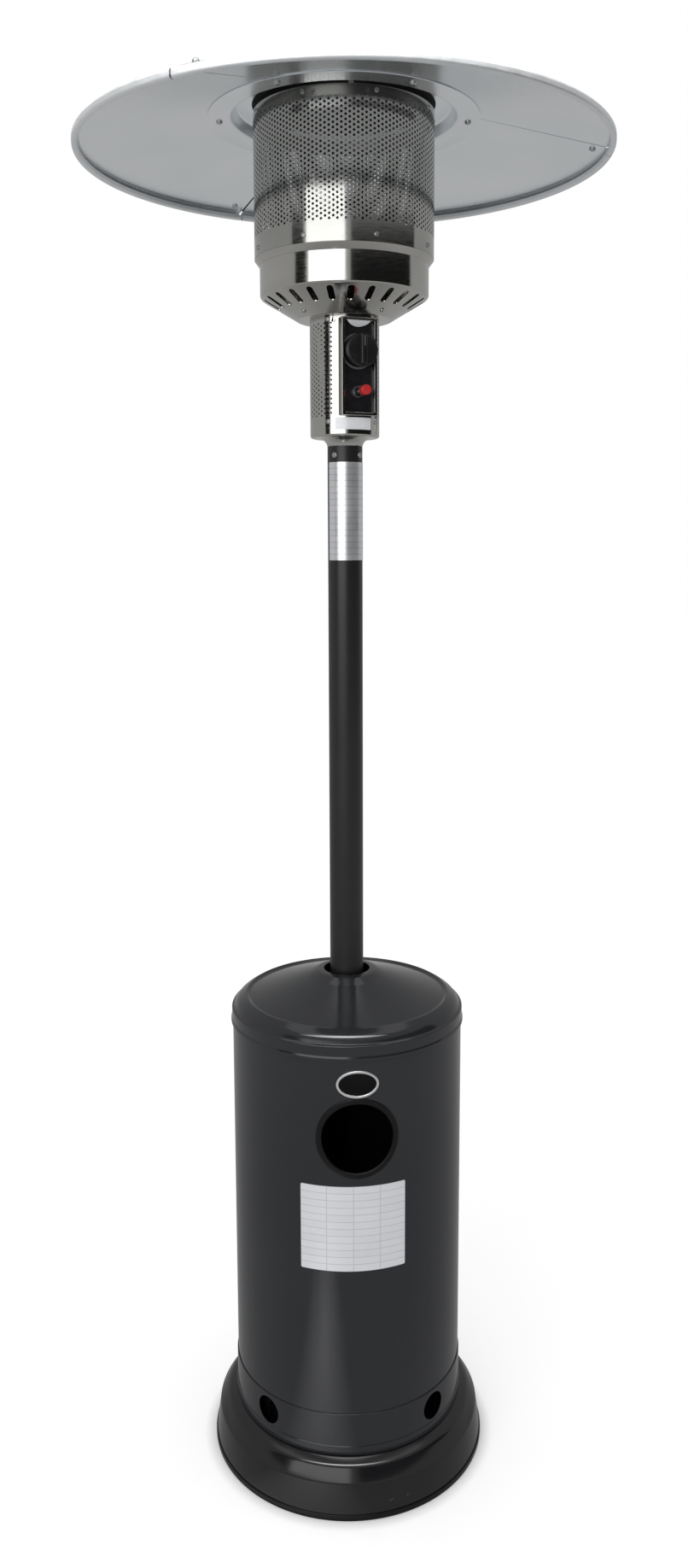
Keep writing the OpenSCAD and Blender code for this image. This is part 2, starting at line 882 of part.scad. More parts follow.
module badge_rim() {
    color("#d9dadb")
        on_wall(badge_z, fit_gap, 2)
            difference() {
                oval(badge_w, badge_h);
                oval(badge_w - 2 * badge_rim_w, badge_h - 2 * badge_rim_w);
            }
}

module badge_face() {
    inset = 2 * (badge_rim_w + fit_gap);
    color("#101012")
        on_wall(badge_z, fit_gap, 1.2)
            oval(badge_w - inset, badge_h - inset);
}

module rating_plate() {
    arc_angle = plate_w / housing_r * 180 / PI;
    color("#d6d9da")
        rotate([0, 0, plate_turn - 90 - arc_angle / 2])
            rotate_extrude(angle = arc_angle)
                translate([housing_r + fit_gap, plate_z - plate_h / 2])
                    square([plate_t, plate_h]);
}

// Neck and control box

module neck() {
    funnel = [for (i = [0:8]) [
        post_r + (neck_top_d / 2 - post_r) * (1 - cos(i * 11.25)),
        post_top + neck_h * sin(i * 11.25)
    ]];
    color(steel)
        difference() {
            rotate_extrude()
                polygon(concat(
                    [[neck_r, spigot_z], [spigot_r, spigot_z], [spigot_r, post_top]],
                    funnel,
                    [[neck_r, box_z]]
                ));
            post_screw_places()
                bar(post_screw_r + run_gap, neck_r - 2, spigot_r + 1);
        }
}

module box_screw_places() {
    for (i = [0:3], z = box_screw_zs)
        facing(box_screw_turn + 90 * i, z)
            translate([0, 0, box_r])
                children();
}

module control_box() {
    color(steel)
        difference() {
            spun(box_line, sheet);
            on_panel(bezel_mid_z)
                translate([-window_w / 2, -window_h / 2, box_r / 2])
                    cube([window_w, window_h, box_r]);
            bar(pipe_r + slide_gap, box_top - sheet - 1, box_top + 1);
            rotate([0, 0, box_turn])
                translate([pilot_in, 0, 0])
                    bar(pilot_r + slide_gap, box_top - sheet - 1, box_top + 1);
            box_screw_places()
                bar(screw_hole_r, -screw_len, 1);
        }
}

// A frame with a lip around its front; its back follows the round box
module control_bezel() {
    start = box_r / 2;
    deep = bezel_front - start;
    inside_w = bezel_w - 2 * sheet;
    inside_h = bezel_h - 2 * sheet;
    mouth_w = bezel_w - 2 * bezel_lip;
    mouth_h = bezel_h - 2 * bezel_lip;
    color(steel)
        difference() {
            on_panel(bezel_mid_z)
                difference() {
                    translate([-bezel_w / 2, -bezel_h / 2, start])
                        cube([bezel_w, bezel_h, deep]);
                    translate([-inside_w / 2, -inside_h / 2, start - 1])
                        cube([inside_w, inside_h, deep + 1 - sheet]);
                    translate([-mouth_w / 2, -mouth_h / 2, start - 1])
                        cube([mouth_w, mouth_h, deep + 2]);
                }
            bar(box_r + fit_gap, box_z - 1, box_top + 1);
        }
}

module control_panel() {
    color("#17171a")
        difference() {
            on_panel(bezel_mid_z)
                translate([-panel_w / 2, -panel_h / 2, panel_back])
                    cube([panel_w, panel_h, panel_t]);
            on_panel(knob_h)
                bar(stem_r + 2, panel_back - 1, panel_front + 1);
            on_panel(igniter_h)
                bar(igniter_neck_d / 2 + fit_gap, panel_back - 1, panel_front + 1);
        }
}

module strip_plate() {
    arc_angle = strip_plate_w / box_r * 180 / PI;
    color("#dfe1e2")
        rotate([0, 0, strip_plate_turn - 90 - arc_angle / 2])
            rotate_extrude(angle = arc_angle)
                translate([box_r + fit_gap / 2, box_z + strip_plate_z - strip_plate_h / 2])
                    square([plate_t, strip_plate_h]);
}

module box_screws() {
    color(dull_steel)
        box_screw_places()
            pan_screw(screw_r, screw_head_r, screw_head_h, screw_len);
}

// Knob and valve

module dial_ring() {
    color("#9a9c9e")
        on_panel(knob_h)
            tube(knob_d / 2 + 1.5, knob_d / 2 + 1.5 - dial_w, panel_front, panel_front + dial_t);
}

module knob() {
    r = knob_d / 2;
    color("#111113")
        on_panel(knob_h)
            difference() {
                union() {
                    translate([0, 0, knob_back])
                        rotate_extrude()
                            polygon([
                                [0, 0], [r, 0], [r, knob_disc_t * 0.6],
                                [r - knob_disc_t * 0.4, knob_disc_t], [0, knob_disc_t]
                            ]);
                    translate([0, 0, knob_back + knob_disc_t])
                        linear_extrude(grip_h)
                            intersection() {
                                circle(r - knob_disc_t * 0.4);
                                square([grip_w, 2 * r], center = true);
                            }
                }
                flat_shaft(stem_r + run_gap, stem_flat, knob_back - 1, stem_end + run_gap);
            }
}

module valve_stem() {
    color(dull_steel)
        on_panel(knob_h)
            flat_shaft(stem_r, stem_flat, stem_start, stem_end);
}

module valve_plug() {
    color(brass)
        on_panel(knob_h)
            difference() {
                bar(plug_r, plug_back, plug_front);
                flat_shaft(stem_r + run_gap, stem_flat, stem_start - knob_push - 1, plug_front + 1);
            }
}

module valve_bonnet() {
    color(brass)
        on_panel(knob_h)
            tube(valve_r, stem_r + slide_gap, bonnet_back, panel_back);
}

module valve_body() {
    color("#9b9da0")
        difference() {
            on_panel(knob_h)
                difference() {
                    union() {
                        bar(valve_r, valve_back, bonnet_back);
                        translate([-block_half, -block_half, -block_half])
                            cube([valve_block, valve_block, valve_back + block_half + 2]);
                    }
                    bar(plug_r + run_gap, plug_back - slide_gap, bonnet_back + 1);
                    bar(pipe_bore * 0.8, 0, bonnet_back);
                }
            bar(pipe_bore, inlet_top - 1, knob_h + block_half + 1);
        }
}

module gas_inlet() {
    hex_r = 8;
    neck_d = 11;
    color(brass)
        difference() {
            union() {
                translate([0, 0, inlet_top - inlet_hex_h])
                    cylinder(h = inlet_hex_h, r = hex_r, $fn = 6);
                bar(neck_d / 2, inlet_top - inlet_shoulder, inlet_top - inlet_hex_h);
                bar(inlet_d / 2, inlet_z, inlet_top - inlet_shoulder);
            }
            bar(inlet_d / 2 - 1.5, inlet_z - 1, inlet_top + 1);
        }
}

module tilt_switch() {
    switch_r = 8;
    switch_h = 26;
    back = neck_r + switch_r + 1.5;
    color("#2c2c2e")
        rotate([0, 0, box_turn])
            translate([0, back, 0]) {
                bar(switch_r, box_z + sheet, box_z + sheet + switch_h);
                bar(switch_r / 2, box_z + sheet + switch_h, box_z + sheet + switch_h + 4);
            }
}

// Igniter

module igniter_body() {
    color("#202022")
        on_panel(igniter_h)
            difference() {
                union() {
                    bar(igniter_r, panel_back - igniter_len, panel_back);
                    bar(igniter_neck_d / 2, panel_back - 1, neck_front);
                }
                bar(shank_r + run_gap, shank_start - igniter_push - 1, neck_front + 1);
            }
}

module igniter_nut() {
    color("#b4b6b8")
        on_panel(igniter_h)
            tube(igniter_nut_d / 2, igniter_neck_d / 2 + run_gap, panel_front, neck_front - 0.5);
}

module igniter_shank() {
    color("#c6c8c9")
        on_panel(igniter_h)
            bar(shank_r, shank_start, cap_back + cap_len / 2);
}

module igniter_cap() {
    r = cap_d / 2;
    bend = 4;
    color("#c23a3a")
        on_panel(igniter_h)
            difference() {
                translate([0, 0, cap_back])
                    rotate_extrude()
                        polygon(concat(
                            [[0, 0], [r - 3, 0], [r, 4], [r, cap_len - bend]],
                            arc([r - bend, cap_len - bend], bend, 15, 90, 5),
                            [[0, cap_len]]
                        ));
                bar(shank_r + run_gap, cap_back - 1, cap_back + cap_len / 2 + run_gap);
            }
}

// Gas pipes and burner

module burner_pipe() {
    color(brass)
        tube(pipe_r, pipe_bore, knob_h + block_half, injector_z);
}

module injector() {
    taper = 8;
    color(brass)
        difference() {
            rotate_extrude()
                polygon([
                    [0, injector_z], [injector_r, injector_z], [injector_r, injector_z + 10],
                    [pipe_bore + 1, injector_z + 10 + taper], [0, injector_z + 10 + taper]
                ]);
            bar(pipe_bore, injector_z - 1, injector_z + 8);
            bar(0.8, injector_z, injector_z + 11 + taper);
        }
}

// A quarter bend of the pilot tube in the XZ plane, from pointing up to pointing out
module pilot_elbow() {
    rotate([90, 0, 0])
        translate([pilot_bend, 0, 0])
            rotate([0, 0, 90])
                rotate_extrude(angle = 90)
                    translate([pilot_bend, 0])
                        circle(pilot_r);
}

module pilot_tube() {
    run_z = burner_z - pilot_plate_t - 2 * pilot_bend - 2;
    color("#b5763f")
        rotate([0, 0, box_turn]) {
            translate([0, 0, knob_h])
                rotate([0, 90, 0])
                    bar(pilot_r, block_half, pilot_in - pilot_bend);
            translate([pilot_in, 0, knob_h + pilot_bend])
                mirror([0, 0, 1])
                    mirror([1, 0, 0])
                        pilot_elbow();
            translate([pilot_in, 0, 0])
                bar(pilot_r, knob_h + pilot_bend, run_z - pilot_bend);
            translate([pilot_in, 0, run_z - pilot_bend])
                pilot_elbow();
            translate([0, 0, run_z])
                rotate([0, 90, 0])
                    bar(pilot_r, pilot_in + pilot_bend, pilot_out - pilot_bend);
            translate([pilot_out, 0, run_z + pilot_bend])
                mirror([0, 0, 1])
                    mirror([1, 0, 0])
                        pilot_elbow();
            translate([pilot_out, 0, 0])
                bar(pilot_r, run_z + pilot_bend, burner_z - pilot_plate_t);
        }
}

module dish_screw_places() {
    for (turn = dish_screw_turns)
        facing(turn, dish_z + (dish_screw_r - dish_flat_r) * tan(dish_lean))
            translate([0, 0, dish_screw_r])
                rotate([90 - dish_lean, 0, 0])
                    children();
}

module burner_cup() {
    slot_r = cup_r - slot_in - slot_len / 2;
    color(steel)
        difference() {
            spun(cup_line, sheet);
            for (i = [0:slot_count - 1])
                rotate([0, 0, 270 + i * 360 / slot_count])
                    translate([slot_r, 0, dish_z - 1])
                        linear_extrude(dish_rise + 5)
                            slot(slot_len, slot_w);
            bar(pipe_r + slide_gap, dish_z - 1, dish_floor + 1);
            rotate([0, 0, box_turn])
                translate([pilot_in, 0, 0])
                    bar(pilot_r + slide_gap, dish_z - 1, dish_floor + 1);
            dish_screw_places()
                bar(screw_hole_r, -screw_len, 1);
        }
}

module dish_screws() {
    color(dull_steel)
        dish_screw_places()
            pan_screw(screw_r, screw_head_r, screw_head_h, screw_len);
}

module burner_stand() {
    stand_sheet = 1.2;
    reach = dish_screw_r + 6;
    lift = sheet + fit_gap;
    reach_z = dish_z + (reach - dish_flat_r) * tan(dish_lean);
    stand_line = [
        [mixer_r - stand_sheet, dish_z + lift],
        [dish_flat_r - lift * tan(dish_lean / 2), dish_z + lift],
        [reach - lift * sin(dish_lean), reach_z + lift * cos(dish_lean)]
    ];
    window_w = 18;
    window_h = 40;
    color(dull_steel)
        difference() {
            union() {
                spun(stand_line, stand_sheet);
                tube(mixer_r, mixer_r - stand_sheet, dish_z + lift, burner_z);
            }
            for (turn = [0:90:270])
                rotate([0, 0, box_turn + 45 + turn])
                    translate([mixer_r - 5, -window_w / 2, dish_floor + 14])
                        cube([10, window_w, window_h]);
            rotate([0, 0, box_turn])
                translate([pilot_in, 0, 0])
                    bar(pilot_r + slide_gap, dish_z, dish_floor + 4);
            dish_screw_places()
                bar(screw_hole_r, -screw_len - 2, 1);
        }
}

module burner_head() {
    wall = 2;
    port_r = 2;
    color("#5b5c5d")
        difference() {
            bar(burner_r, burner_z, burner_z + burner_h);
            bar(burner_r - wall, burner_z + wall, burner_z + burner_h - wall);
            bar(mixer_r - wall, burner_z - 1, burner_z + wall + 1);
            for (ring = [[0.45, 12], [0.8, 24]], i = [1:ring[1]])
                rotate([0, 0, i * 360 / ring[1]])
                    translate([burner_r * ring[0], 0, 0])
                        bar(port_r, burner_z + burner_h - wall - 1, burner_z + burner_h + 1);
        }
}

module pilot_bracket() {
    plate_w = 28;
    start = mixer_r + 6;
    color(dull_steel)
        rotate([0, 0, box_turn])
            translate([start, -plate_w / 2, burner_z - pilot_plate_t])
                cube([pilot_out + 16 - start, plate_w, pilot_plate_t]);
}

module pilot_burner() {
    r = 4.5;
    h = 24;
    color(brass)
        rotate([0, 0, box_turn])
            translate([pilot_out, 0, burner_z])
                difference() {
                    bar(r, 0, h);
                    bar(r - 1.5, 4, h + 1);
                    translate([-r - 1, -1.5, h - 6])
                        cube([2 * r + 2, 3, 7]);
                }
}

module thermocouple() {
    color("#a8622e")
        rotate([0, 0, box_turn])
            translate([pilot_out + 9, -9, burner_z]) {
                bar(3.2, 0, 12);
                bar(2, 12, 30);
            }
}

module spark_electrode() {
    color("#e4e2dc")
        rotate([0, 0, box_turn])
            translate([pilot_out + 9, 9, burner_z]) {
                bar(3.4, 0, 18);
                bar(0.9, 18, 29);
            }
}

// Emitter screen

module screen_screw_places(zs) {
    for (turn = screen_screw_turns, z = zs)
        facing(turn, z)
            translate([0, 0, screen_r])
                children();
}

module screen_base_ring() {
    line = [
        [cup_r, cup_top + fit_gap],
        [screen_r, screen_z],
        [flange_in_r, screen_z],
        [flange_in_r, screen_z + screen_flange]
    ];
    color(steel)
        difference() {
            spun(line, sheet);
            screen_screw_places([screen_screw_zs[0]])
                bar(screw_hole_r, -screw_len - 1, 1);
        }
}

module emitter_screen() {
    color("#9c9d9e")
        difference() {
            tube(screen_r, screen_r - sheet, screen_z, screen_top);
            screen_screw_places(screen_screw_zs)
                bar(screw_hole_r, -screw_len - 1, 1);
        }
}

module screen_screws() {
    color(dull_steel)
        screen_screw_places(screen_screw_zs)
            pan_screw(screw_r, screw_head_r, screw_head_h, screw_len);
}

module stud_places() {
    for (turn = stud_turns)
        rotate([0, 0, turn])
            translate([stud_place_r, 0, 0])
                children();
}

module screen_top_ring() {
    line = [
        [flange_in_r, top_ring_z - screen_flange],
        [flange_in_r, top_ring_z],
        [flange_in_r - top_ring_w, top_ring_z]
    ];
    color("#6f7071")
        difference() {
            spun(line, sheet);
            screen_screw_places([screen_screw_zs[1]])
                bar(screw_hole_r, -screw_len - 1, 1);
            stud_places()
                bar(stud_hole_r, top_ring_z - sheet - 1, top_ring_z + 1);
        }
}

module hub_studs() {
    color(steel)
        stud_places()
            translate([0, 0, top_ring_z - sheet])
                mirror([0, 0, 1])
                    hex_bolt(stud_r, nut_hex_r, 4, hub_disc_z + 2 * sheet - top_ring_z + nut_deep - 1);
}

module hub_spacers() {
    color(dull_steel)
        stud_places()
            tube(stud_r + 3, stud_hole_r, top_ring_z, hub_disc_z);
}

// Reflector

// Every second one of these screws is at a seam, where the children rise by the given height
module panel_screw_places(rise = 0) {
    for (i = [0:5])
        rotate([0, 0, seam_turn + 60 * i])
            translate([panel_screw_r, 0, i % 2 == 0 ? rise : 0])
                children();
}

// At a seam screw: +Z stands square to the reflector's upper face
module seam_screw_places() {
    for (i = [0:2])
        rotate([0, 0, seam_turn + 120 * i])
            translate([seam_screw_r, 0, seam_screw_z + lap_lift])
                rotate([0, reflector_lean, 0])
                    children();
}

module reflector_hub() {
    color(aluminium)
        difference() {
            spun(hub_line, sheet);
            panel_screw_places()
                bar(stud_hole_r, hub_flange_z - 1, hub_flange_z + sheet + 1);
            stud_places()
                bar(stud_hole_r, hub_disc_z - 1, hub_disc_z + sheet + 1);
        }
}

// One third of the reflector. Its last strip steps up and lies on the next panel's edge.
module reflector_panel(number) {
    start = seam_turn - seam_lap / 2 + 120 * number;
    color(aluminium)
        difference() {
            union() {
                rotate([0, 0, start + seam_gap])
                    spun(panel_line, reflector_sheet, 120 - joggle - seam_gap);
                rotate([0, 0, start + 120 - 1.5 * joggle])
                    spun(joggle_line, reflector_sheet + lap_lift + 2 * joggle_step, 1.5 * joggle);
                rotate([0, 0, start + 120 - 0.5 * joggle])
                    spun(lap_line, reflector_sheet, seam_lap + 0.5 * joggle);
            }
            panel_screw_places()
                bar(stud_hole_r, hub_flange_z, panel_top_z + 5);
            seam_screw_places()
                bar(stud_hole_r, -8, 8);
        }
}

module panel_screws() {
    head_r = 5;
    head_h = 3;
    stack = reflector_sheet + lap_lift;
    hub_stack = panel_top_z - hub_flange_z;
    color("#8f9294") {
        panel_screw_places()
            translate([0, 0, hub_flange_z])
                mirror([0, 0, 1])
                    pan_screw(stud_r, head_r, head_h, hub_stack + nut_deep - 1);
        seam_screw_places()
            translate([0, 0, -stack])
                mirror([0, 0, 1])
                    pan_screw(stud_r, head_r, head_h, stack + nut_deep - 1);
    }
}

module dome_nuts() {
    color("#d5d7d8") {
        panel_screw_places(lap_lift)
            translate([0, 0, panel_top_z])
                dome_nut();
        seam_screw_places()
            dome_nut();
        stud_places()
            translate([0, 0, hub_disc_z + sheet])
                dome_nut();
    }
}

base_pan();
base_deck();
base_edge_trim();
support_leg(leg_turns[0]);  // support_leg_left
support_leg(leg_turns[1]);  // support_leg_right
support_leg(leg_turns[2]);  // support_leg_back
leg_bolts();
leg_nuts();
post_flange();
post();
post_screws();
post_plate();
tank_housing();
housing_band();
housing_cap();
hand_hole_grommet();
badge_rim();
badge_face();
rating_plate();
neck();
control_box();
control_bezel();
control_panel();
strip_plate();
box_screws();
dial_ring();
knob();
valve_stem();
valve_plug();
valve_bonnet();
valve_body();
gas_inlet();
burner_pipe();
injector();
pilot_tube();
tilt_switch();
igniter_body();
igniter_nut();
igniter_shank();
igniter_cap();
burner_cup();
dish_screws();
burner_stand();
burner_head();
pilot_bracket();
pilot_burner();
thermocouple();
spark_electrode();
screen_base_ring();
emitter_screen();
screen_screws();
screen_top_ring();
hub_studs();
hub_spacers();
reflector_hub();
reflector_panel(0);  // reflector_panel_1
reflector_panel(1);  // reflector_panel_2
reflector_panel(2);  // reflector_panel_3
panel_screws();
dome_nuts();
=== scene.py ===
# %% [markdown]
# # Dressing a gas patio heater
# The solids of the heater are already there: a base, a bottle housing, a post, a control box, a
# perforated emitter screen and a wide reflector. They are plain and a little faceted where a bend
# was drawn as short straight steps. In this lesson each sheet that shows is modelled again as the
# pressed, rolled or punched metal that it is, every piece gets a finish made of nodes, and the
# whole stands in a small photo studio. Loading the frame brings the solids in at their true size,
# in metres, with +Z up.

# %% Load the frame
import json
import math

import bpy
from mathutils import Matrix, Vector


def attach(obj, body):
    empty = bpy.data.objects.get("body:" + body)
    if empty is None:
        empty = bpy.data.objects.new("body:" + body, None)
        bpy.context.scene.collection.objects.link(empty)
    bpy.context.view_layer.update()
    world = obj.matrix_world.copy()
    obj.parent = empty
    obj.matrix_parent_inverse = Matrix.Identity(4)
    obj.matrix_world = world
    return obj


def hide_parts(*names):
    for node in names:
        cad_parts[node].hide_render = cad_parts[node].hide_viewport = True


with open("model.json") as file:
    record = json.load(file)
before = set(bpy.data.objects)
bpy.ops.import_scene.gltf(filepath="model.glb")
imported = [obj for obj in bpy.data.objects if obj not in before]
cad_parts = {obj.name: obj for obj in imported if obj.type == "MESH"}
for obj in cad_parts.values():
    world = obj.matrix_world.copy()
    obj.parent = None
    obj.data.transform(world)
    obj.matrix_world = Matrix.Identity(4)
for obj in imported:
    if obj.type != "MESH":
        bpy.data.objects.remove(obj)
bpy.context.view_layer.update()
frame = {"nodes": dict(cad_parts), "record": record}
MM = 0.001

# %% [markdown]
# ## The camera
# A photographer stood two metres away with the lens at shoulder height, a little to the left of the
# housing's front, and looked slightly down. The shift of the lens keeps the upright post nearly
# upright in the picture, and a trace of roll is left in, because the real tripod wasn't quite
# level.

# %% Set up the camera
stand_turn = math.radians(-4.8)
stand_off = 1.995
lens_height = 1.531
look_down = math.radians(8.065)
roll = math.radians(-0.2)

lens = bpy.data.cameras.new("photo_camera")
lens.sensor_width = 36
lens.lens = 28.577
lens.shift_x = -0.0012
lens.shift_y = -0.0425
camera = bpy.data.objects.new("photo_camera", lens)
bpy.context.scene.collection.objects.link(camera)
camera.location = (stand_off * math.sin(stand_turn), -stand_off * math.cos(stand_turn), lens_height)
aim = Matrix.Rotation(stand_turn, 3, "Z") @ Matrix.Rotation(math.pi / 2 - look_down, 3, "X")
camera.rotation_euler = (aim @ Matrix.Rotation(roll, 3, "Z")).to_euler()
bpy.context.scene.camera = camera
bpy.context.scene.view_settings.view_transform = "Standard"
print("camera at", tuple(round(x, 3) for x in camera.location))

# %% [markdown]
# ## The studio
# Polished steel and gloss paint show the room more than they show themselves, so the room is part
# of the likeness. A large softbox stands to the left, black flags stand on both sides of it, a
# bright card hangs overhead, a bright runner lies on the floor in front, and grey paper goes all
# the way round and lies under the runner. Paper, flags, card and runner are seen by reflections
# only: they take no part in lighting the object, so colours stay about as they are written. The
# floor is pale and keeps the soft shadow of the base.

# %% Studio helpers
def clear_picks():
    if bpy.context.mode != "OBJECT":
        bpy.ops.object.mode_set(mode="OBJECT")
    bpy.ops.object.select_all(action="DESELECT")


def add(primitive, name=None, **sizes):
    """Adds one of Blender's mesh primitives."""
    clear_picks()
    primitive(**sizes)
    thing = bpy.context.active_object
    if name:
        thing.name = name
    return thing


def spot(turn, distance, height):
    """A place round the object: the turn is in degrees from the camera's side, positive to the right."""
    angle = math.radians(turn) + stand_turn
    return Vector((distance * math.sin(angle), -distance * math.cos(angle), height))


def node(tree, kind, values=None, operation=None):
    """A new shader node with some of its inputs set."""
    made = tree.nodes.new("ShaderNode" + kind)
    if operation:
        made.operation = operation
    for name, value in (values or {}).items():
        made.inputs[name].default_value = value
    return made


def between(tree, value, low, high, start=0.3, end=0.7):
    """Spreads part of a value's range over a range of numbers. The part set here suits a noise."""
    spread = node(tree, "MapRange", {"From Min": start, "From Max": end, "To Min": low, "To Max": high})
    tree.links.new(value, spread.inputs["Value"])
    return spread.outputs["Result"]


def by_distance(tree, near, far, low, high):
    """A number that goes from low to high with the distance from the thing's own middle."""
    away = node(tree, "VectorMath", operation="LENGTH")
    tree.links.new(node(tree, "TexCoord").outputs["Object"], away.inputs[0])
    return between(tree, away.outputs["Value"], low, high, near, far)


def glowing(name, level):
    """A plain emitting surface, for studio things that are no part of the object."""
    finish = bpy.data.materials.new(name)
    finish.use_nodes = True
    tree = finish.node_tree
    tree.nodes.remove(tree.nodes["Principled BSDF"])
    glow = node(tree, "Emission", {"Color": (level, level, level, 1)})
    tree.links.new(glow.outputs["Emission"], tree.nodes["Material Output"].inputs["Surface"])
    return finish


def glow_by_place(name, *change):
    """The same, with a strength that changes with the distance."""
    finish = glowing(name, 1)
    tree = finish.node_tree
    tree.links.new(by_distance(tree, *change), tree.nodes["Emission"].inputs["Strength"])
    return finish


def reflections_only(thing):
    thing.visible_camera = False
    thing.visible_diffuse = False
    thing.visible_shadow = False
    thing.visible_transmission = False


# %% Softbox
softbox_lamp = bpy.data.lights.new("softbox", "AREA")
softbox_lamp.shape = "RECTANGLE"
softbox_lamp.size = 2.74
softbox_lamp.size_y = 1.74
softbox_lamp.energy = 28
softbox = bpy.data.objects.new("softbox", softbox_lamp)
bpy.context.scene.collection.objects.link(softbox)
softbox_turn, softbox_off, softbox_z = -23.3, 3.0, 2.07
softbox.location = spot(softbox_turn, softbox_off, softbox_z)
towards = Vector((0, 0, softbox_z)) - softbox.location
softbox.rotation_euler = towards.to_track_quat("-Z", "Y").to_euler()
print("softbox at", tuple(round(x, 2) for x in softbox.location))

# %% Grey paper, on the wall and on the floor
room_r, room_h = 4.6, 8
paper_level, near_level = 0.43, 0.32
wall = add(bpy.ops.mesh.primitive_cylinder_add, "grey_wall", vertices=96, radius=room_r, depth=room_h,
           end_fill_type="NOTHING", location=(0, 0, room_h / 2))
wall.data.materials.append(glowing("grey_paper", paper_level))
reflections_only(wall)
paper = add(bpy.ops.mesh.primitive_circle_add, "floor_paper", vertices=96, radius=room_r,
            fill_type="NGON", location=(0, 0, 0.002))
paper.data.materials.append(glow_by_place("floor_grey", 1, 2.2, near_level, paper_level))
reflections_only(paper)

# %% Black flags
black_cloth = glowing("black_cloth", 0.012)
flag_off, flag_low, flag_high = 2.6, 1.0, 2.6


def flag(name, start, sweep):
    """A curved cloth round the object, made by spinning an upright line."""
    cloth = add(bpy.ops.mesh.primitive_plane_add, name, size=1)
    bpy.ops.object.mode_set(mode="EDIT")
    bpy.ops.mesh.merge(type="CENTER")
    bpy.ops.transform.translate(value=spot(start, flag_off, flag_low))
    bpy.ops.mesh.extrude_region_move(TRANSFORM_OT_translate={"value": (0, 0, flag_high - flag_low)})
    bpy.ops.mesh.select_all(action="SELECT")
    bpy.ops.mesh.spin(steps=24, angle=math.radians(sweep), center=(0, 0, 0), axis=(0, 0, -1))
    bpy.ops.object.mode_set(mode="OBJECT")
    cloth.data.materials.append(black_cloth)
    reflections_only(cloth)
    print(name, "has", len(cloth.data.polygons), "faces")


flag("wide_flag", 8, 89)
flag("narrow_flag", -67, 16)


# %% Card overhead and runner on the floor
def card(name, place, turn, scale, white, middle, edge):
    """A flat card whose glow changes from its middle outwards."""
    thing = add(bpy.ops.mesh.primitive_plane_add, name, size=1, location=place)
    thing.scale = scale
    thing.rotation_euler.z = stand_turn + math.radians(turn)
    thing.data.materials.append(glow_by_place(white, 0, 0.5, middle, edge))
    reflections_only(thing)


card("overhead_card", spot(-9, 1.08, 3.3), 0, (3.6, 0.9, 1), "card_white", 21, 0)
runner_turn = -20
card("floor_runner", spot(runner_turn, 0.6, 0.004), runner_turn, (0.36, 1.1, 1),
     "runner_white", 1.5, near_level)


# %% Floor
def seen_rays(tree):
    """One for rays that show a backdrop: to the camera, mirrored or through glass. Nought for light."""
    path = node(tree, "LightPath")
    either = node(tree, "Math", operation="MAXIMUM")
    shown = node(tree, "Math", operation="MAXIMUM")
    tree.links.new(path.outputs["Is Camera Ray"], either.inputs[0])
    tree.links.new(path.outputs["Is Glossy Ray"], either.inputs[1])
    tree.links.new(either.outputs["Value"], shown.inputs[0])
    tree.links.new(path.outputs["Is Transmission Ray"], shown.inputs[1])
    return shown.outputs["Value"]


floor = add(bpy.ops.mesh.primitive_plane_add, "studio_floor", size=40)
floor_paint = bpy.data.materials.new("floor_paint")
floor_paint.use_nodes = True
tree = floor_paint.node_tree
paint = tree.nodes["Principled BSDF"]
paint.inputs["Base Color"].default_value = (0.9, 0.9, 0.9, 1)
paint.inputs["Roughness"].default_value = 0.9
paint.inputs["Emission Color"].default_value = (1, 1, 1, 1)
under_base, past_base, floor_lift = 0.22, 0.25, 0.45
lift = node(tree, "Math", operation="MULTIPLY")
tree.links.new(by_distance(tree, under_base, past_base, 0, floor_lift), lift.inputs[0])
tree.links.new(seen_rays(tree), lift.inputs[1])
tree.links.new(lift.outputs["Value"], paint.inputs["Emission Strength"])
floor.data.materials.append(floor_paint)

# %% World
world = bpy.data.worlds.new("studio")
bpy.context.scene.world = world
world.use_nodes = True
tree = world.node_tree
tree.nodes.clear()
white = node(tree, "Background", {"Color": (1, 1, 1, 1)})
soft = node(tree, "Background", {"Color": (0.62, 0.62, 0.63, 1)})
blend = node(tree, "MixShader")
tree.links.new(seen_rays(tree), blend.inputs["Fac"])
tree.links.new(soft.outputs["Background"], blend.inputs[1])
tree.links.new(white.outputs["Background"], blend.inputs[2])
output = node(tree, "OutputWorld")
tree.links.new(blend.outputs["Shader"], output.inputs["Surface"])
print("studio ready")

# %% [markdown]
# ## Finishes
# Every finish is a few nodes on the object's own coordinates: a noise that shifts the colour a
# little, another that shifts the gloss, and a shallow relief. No real surface is one flat colour:
# powder coat has orange peel, rolled sheet has fine lines along the way it was rolled, and cast
# parts are grainy. Small helpers make the noise, turn it into a range of colours, turn it into
# relief and connect all three to the shader.

# %% Finish helpers
finishes = {}


def colour(red, green, blue):
    """A colour as it is seen on a screen, 0 to 255, turned into the linear light that shaders use."""
    parts = [part / 255 for part in (red, green, blue)]
    return tuple(p / 12.92 if p < 0.04045 else ((p + 0.055) / 1.055) ** 2.4 for p in parts) + (1,)


def grain(tree, scale, stretch=(1, 1, 1), detail=4):
    """Noise in the object's own coordinates; a stretch above 1 packs it tighter along that axis."""
    packed = node(tree, "Mapping", {"Scale": stretch})
    noise = node(tree, "TexNoise", {"Scale": scale, "Detail": detail})
    tree.links.new(node(tree, "TexCoord").outputs["Object"], packed.inputs["Vector"])
    tree.links.new(packed.outputs["Vector"], noise.inputs["Vector"])
    return noise.outputs["Fac"]


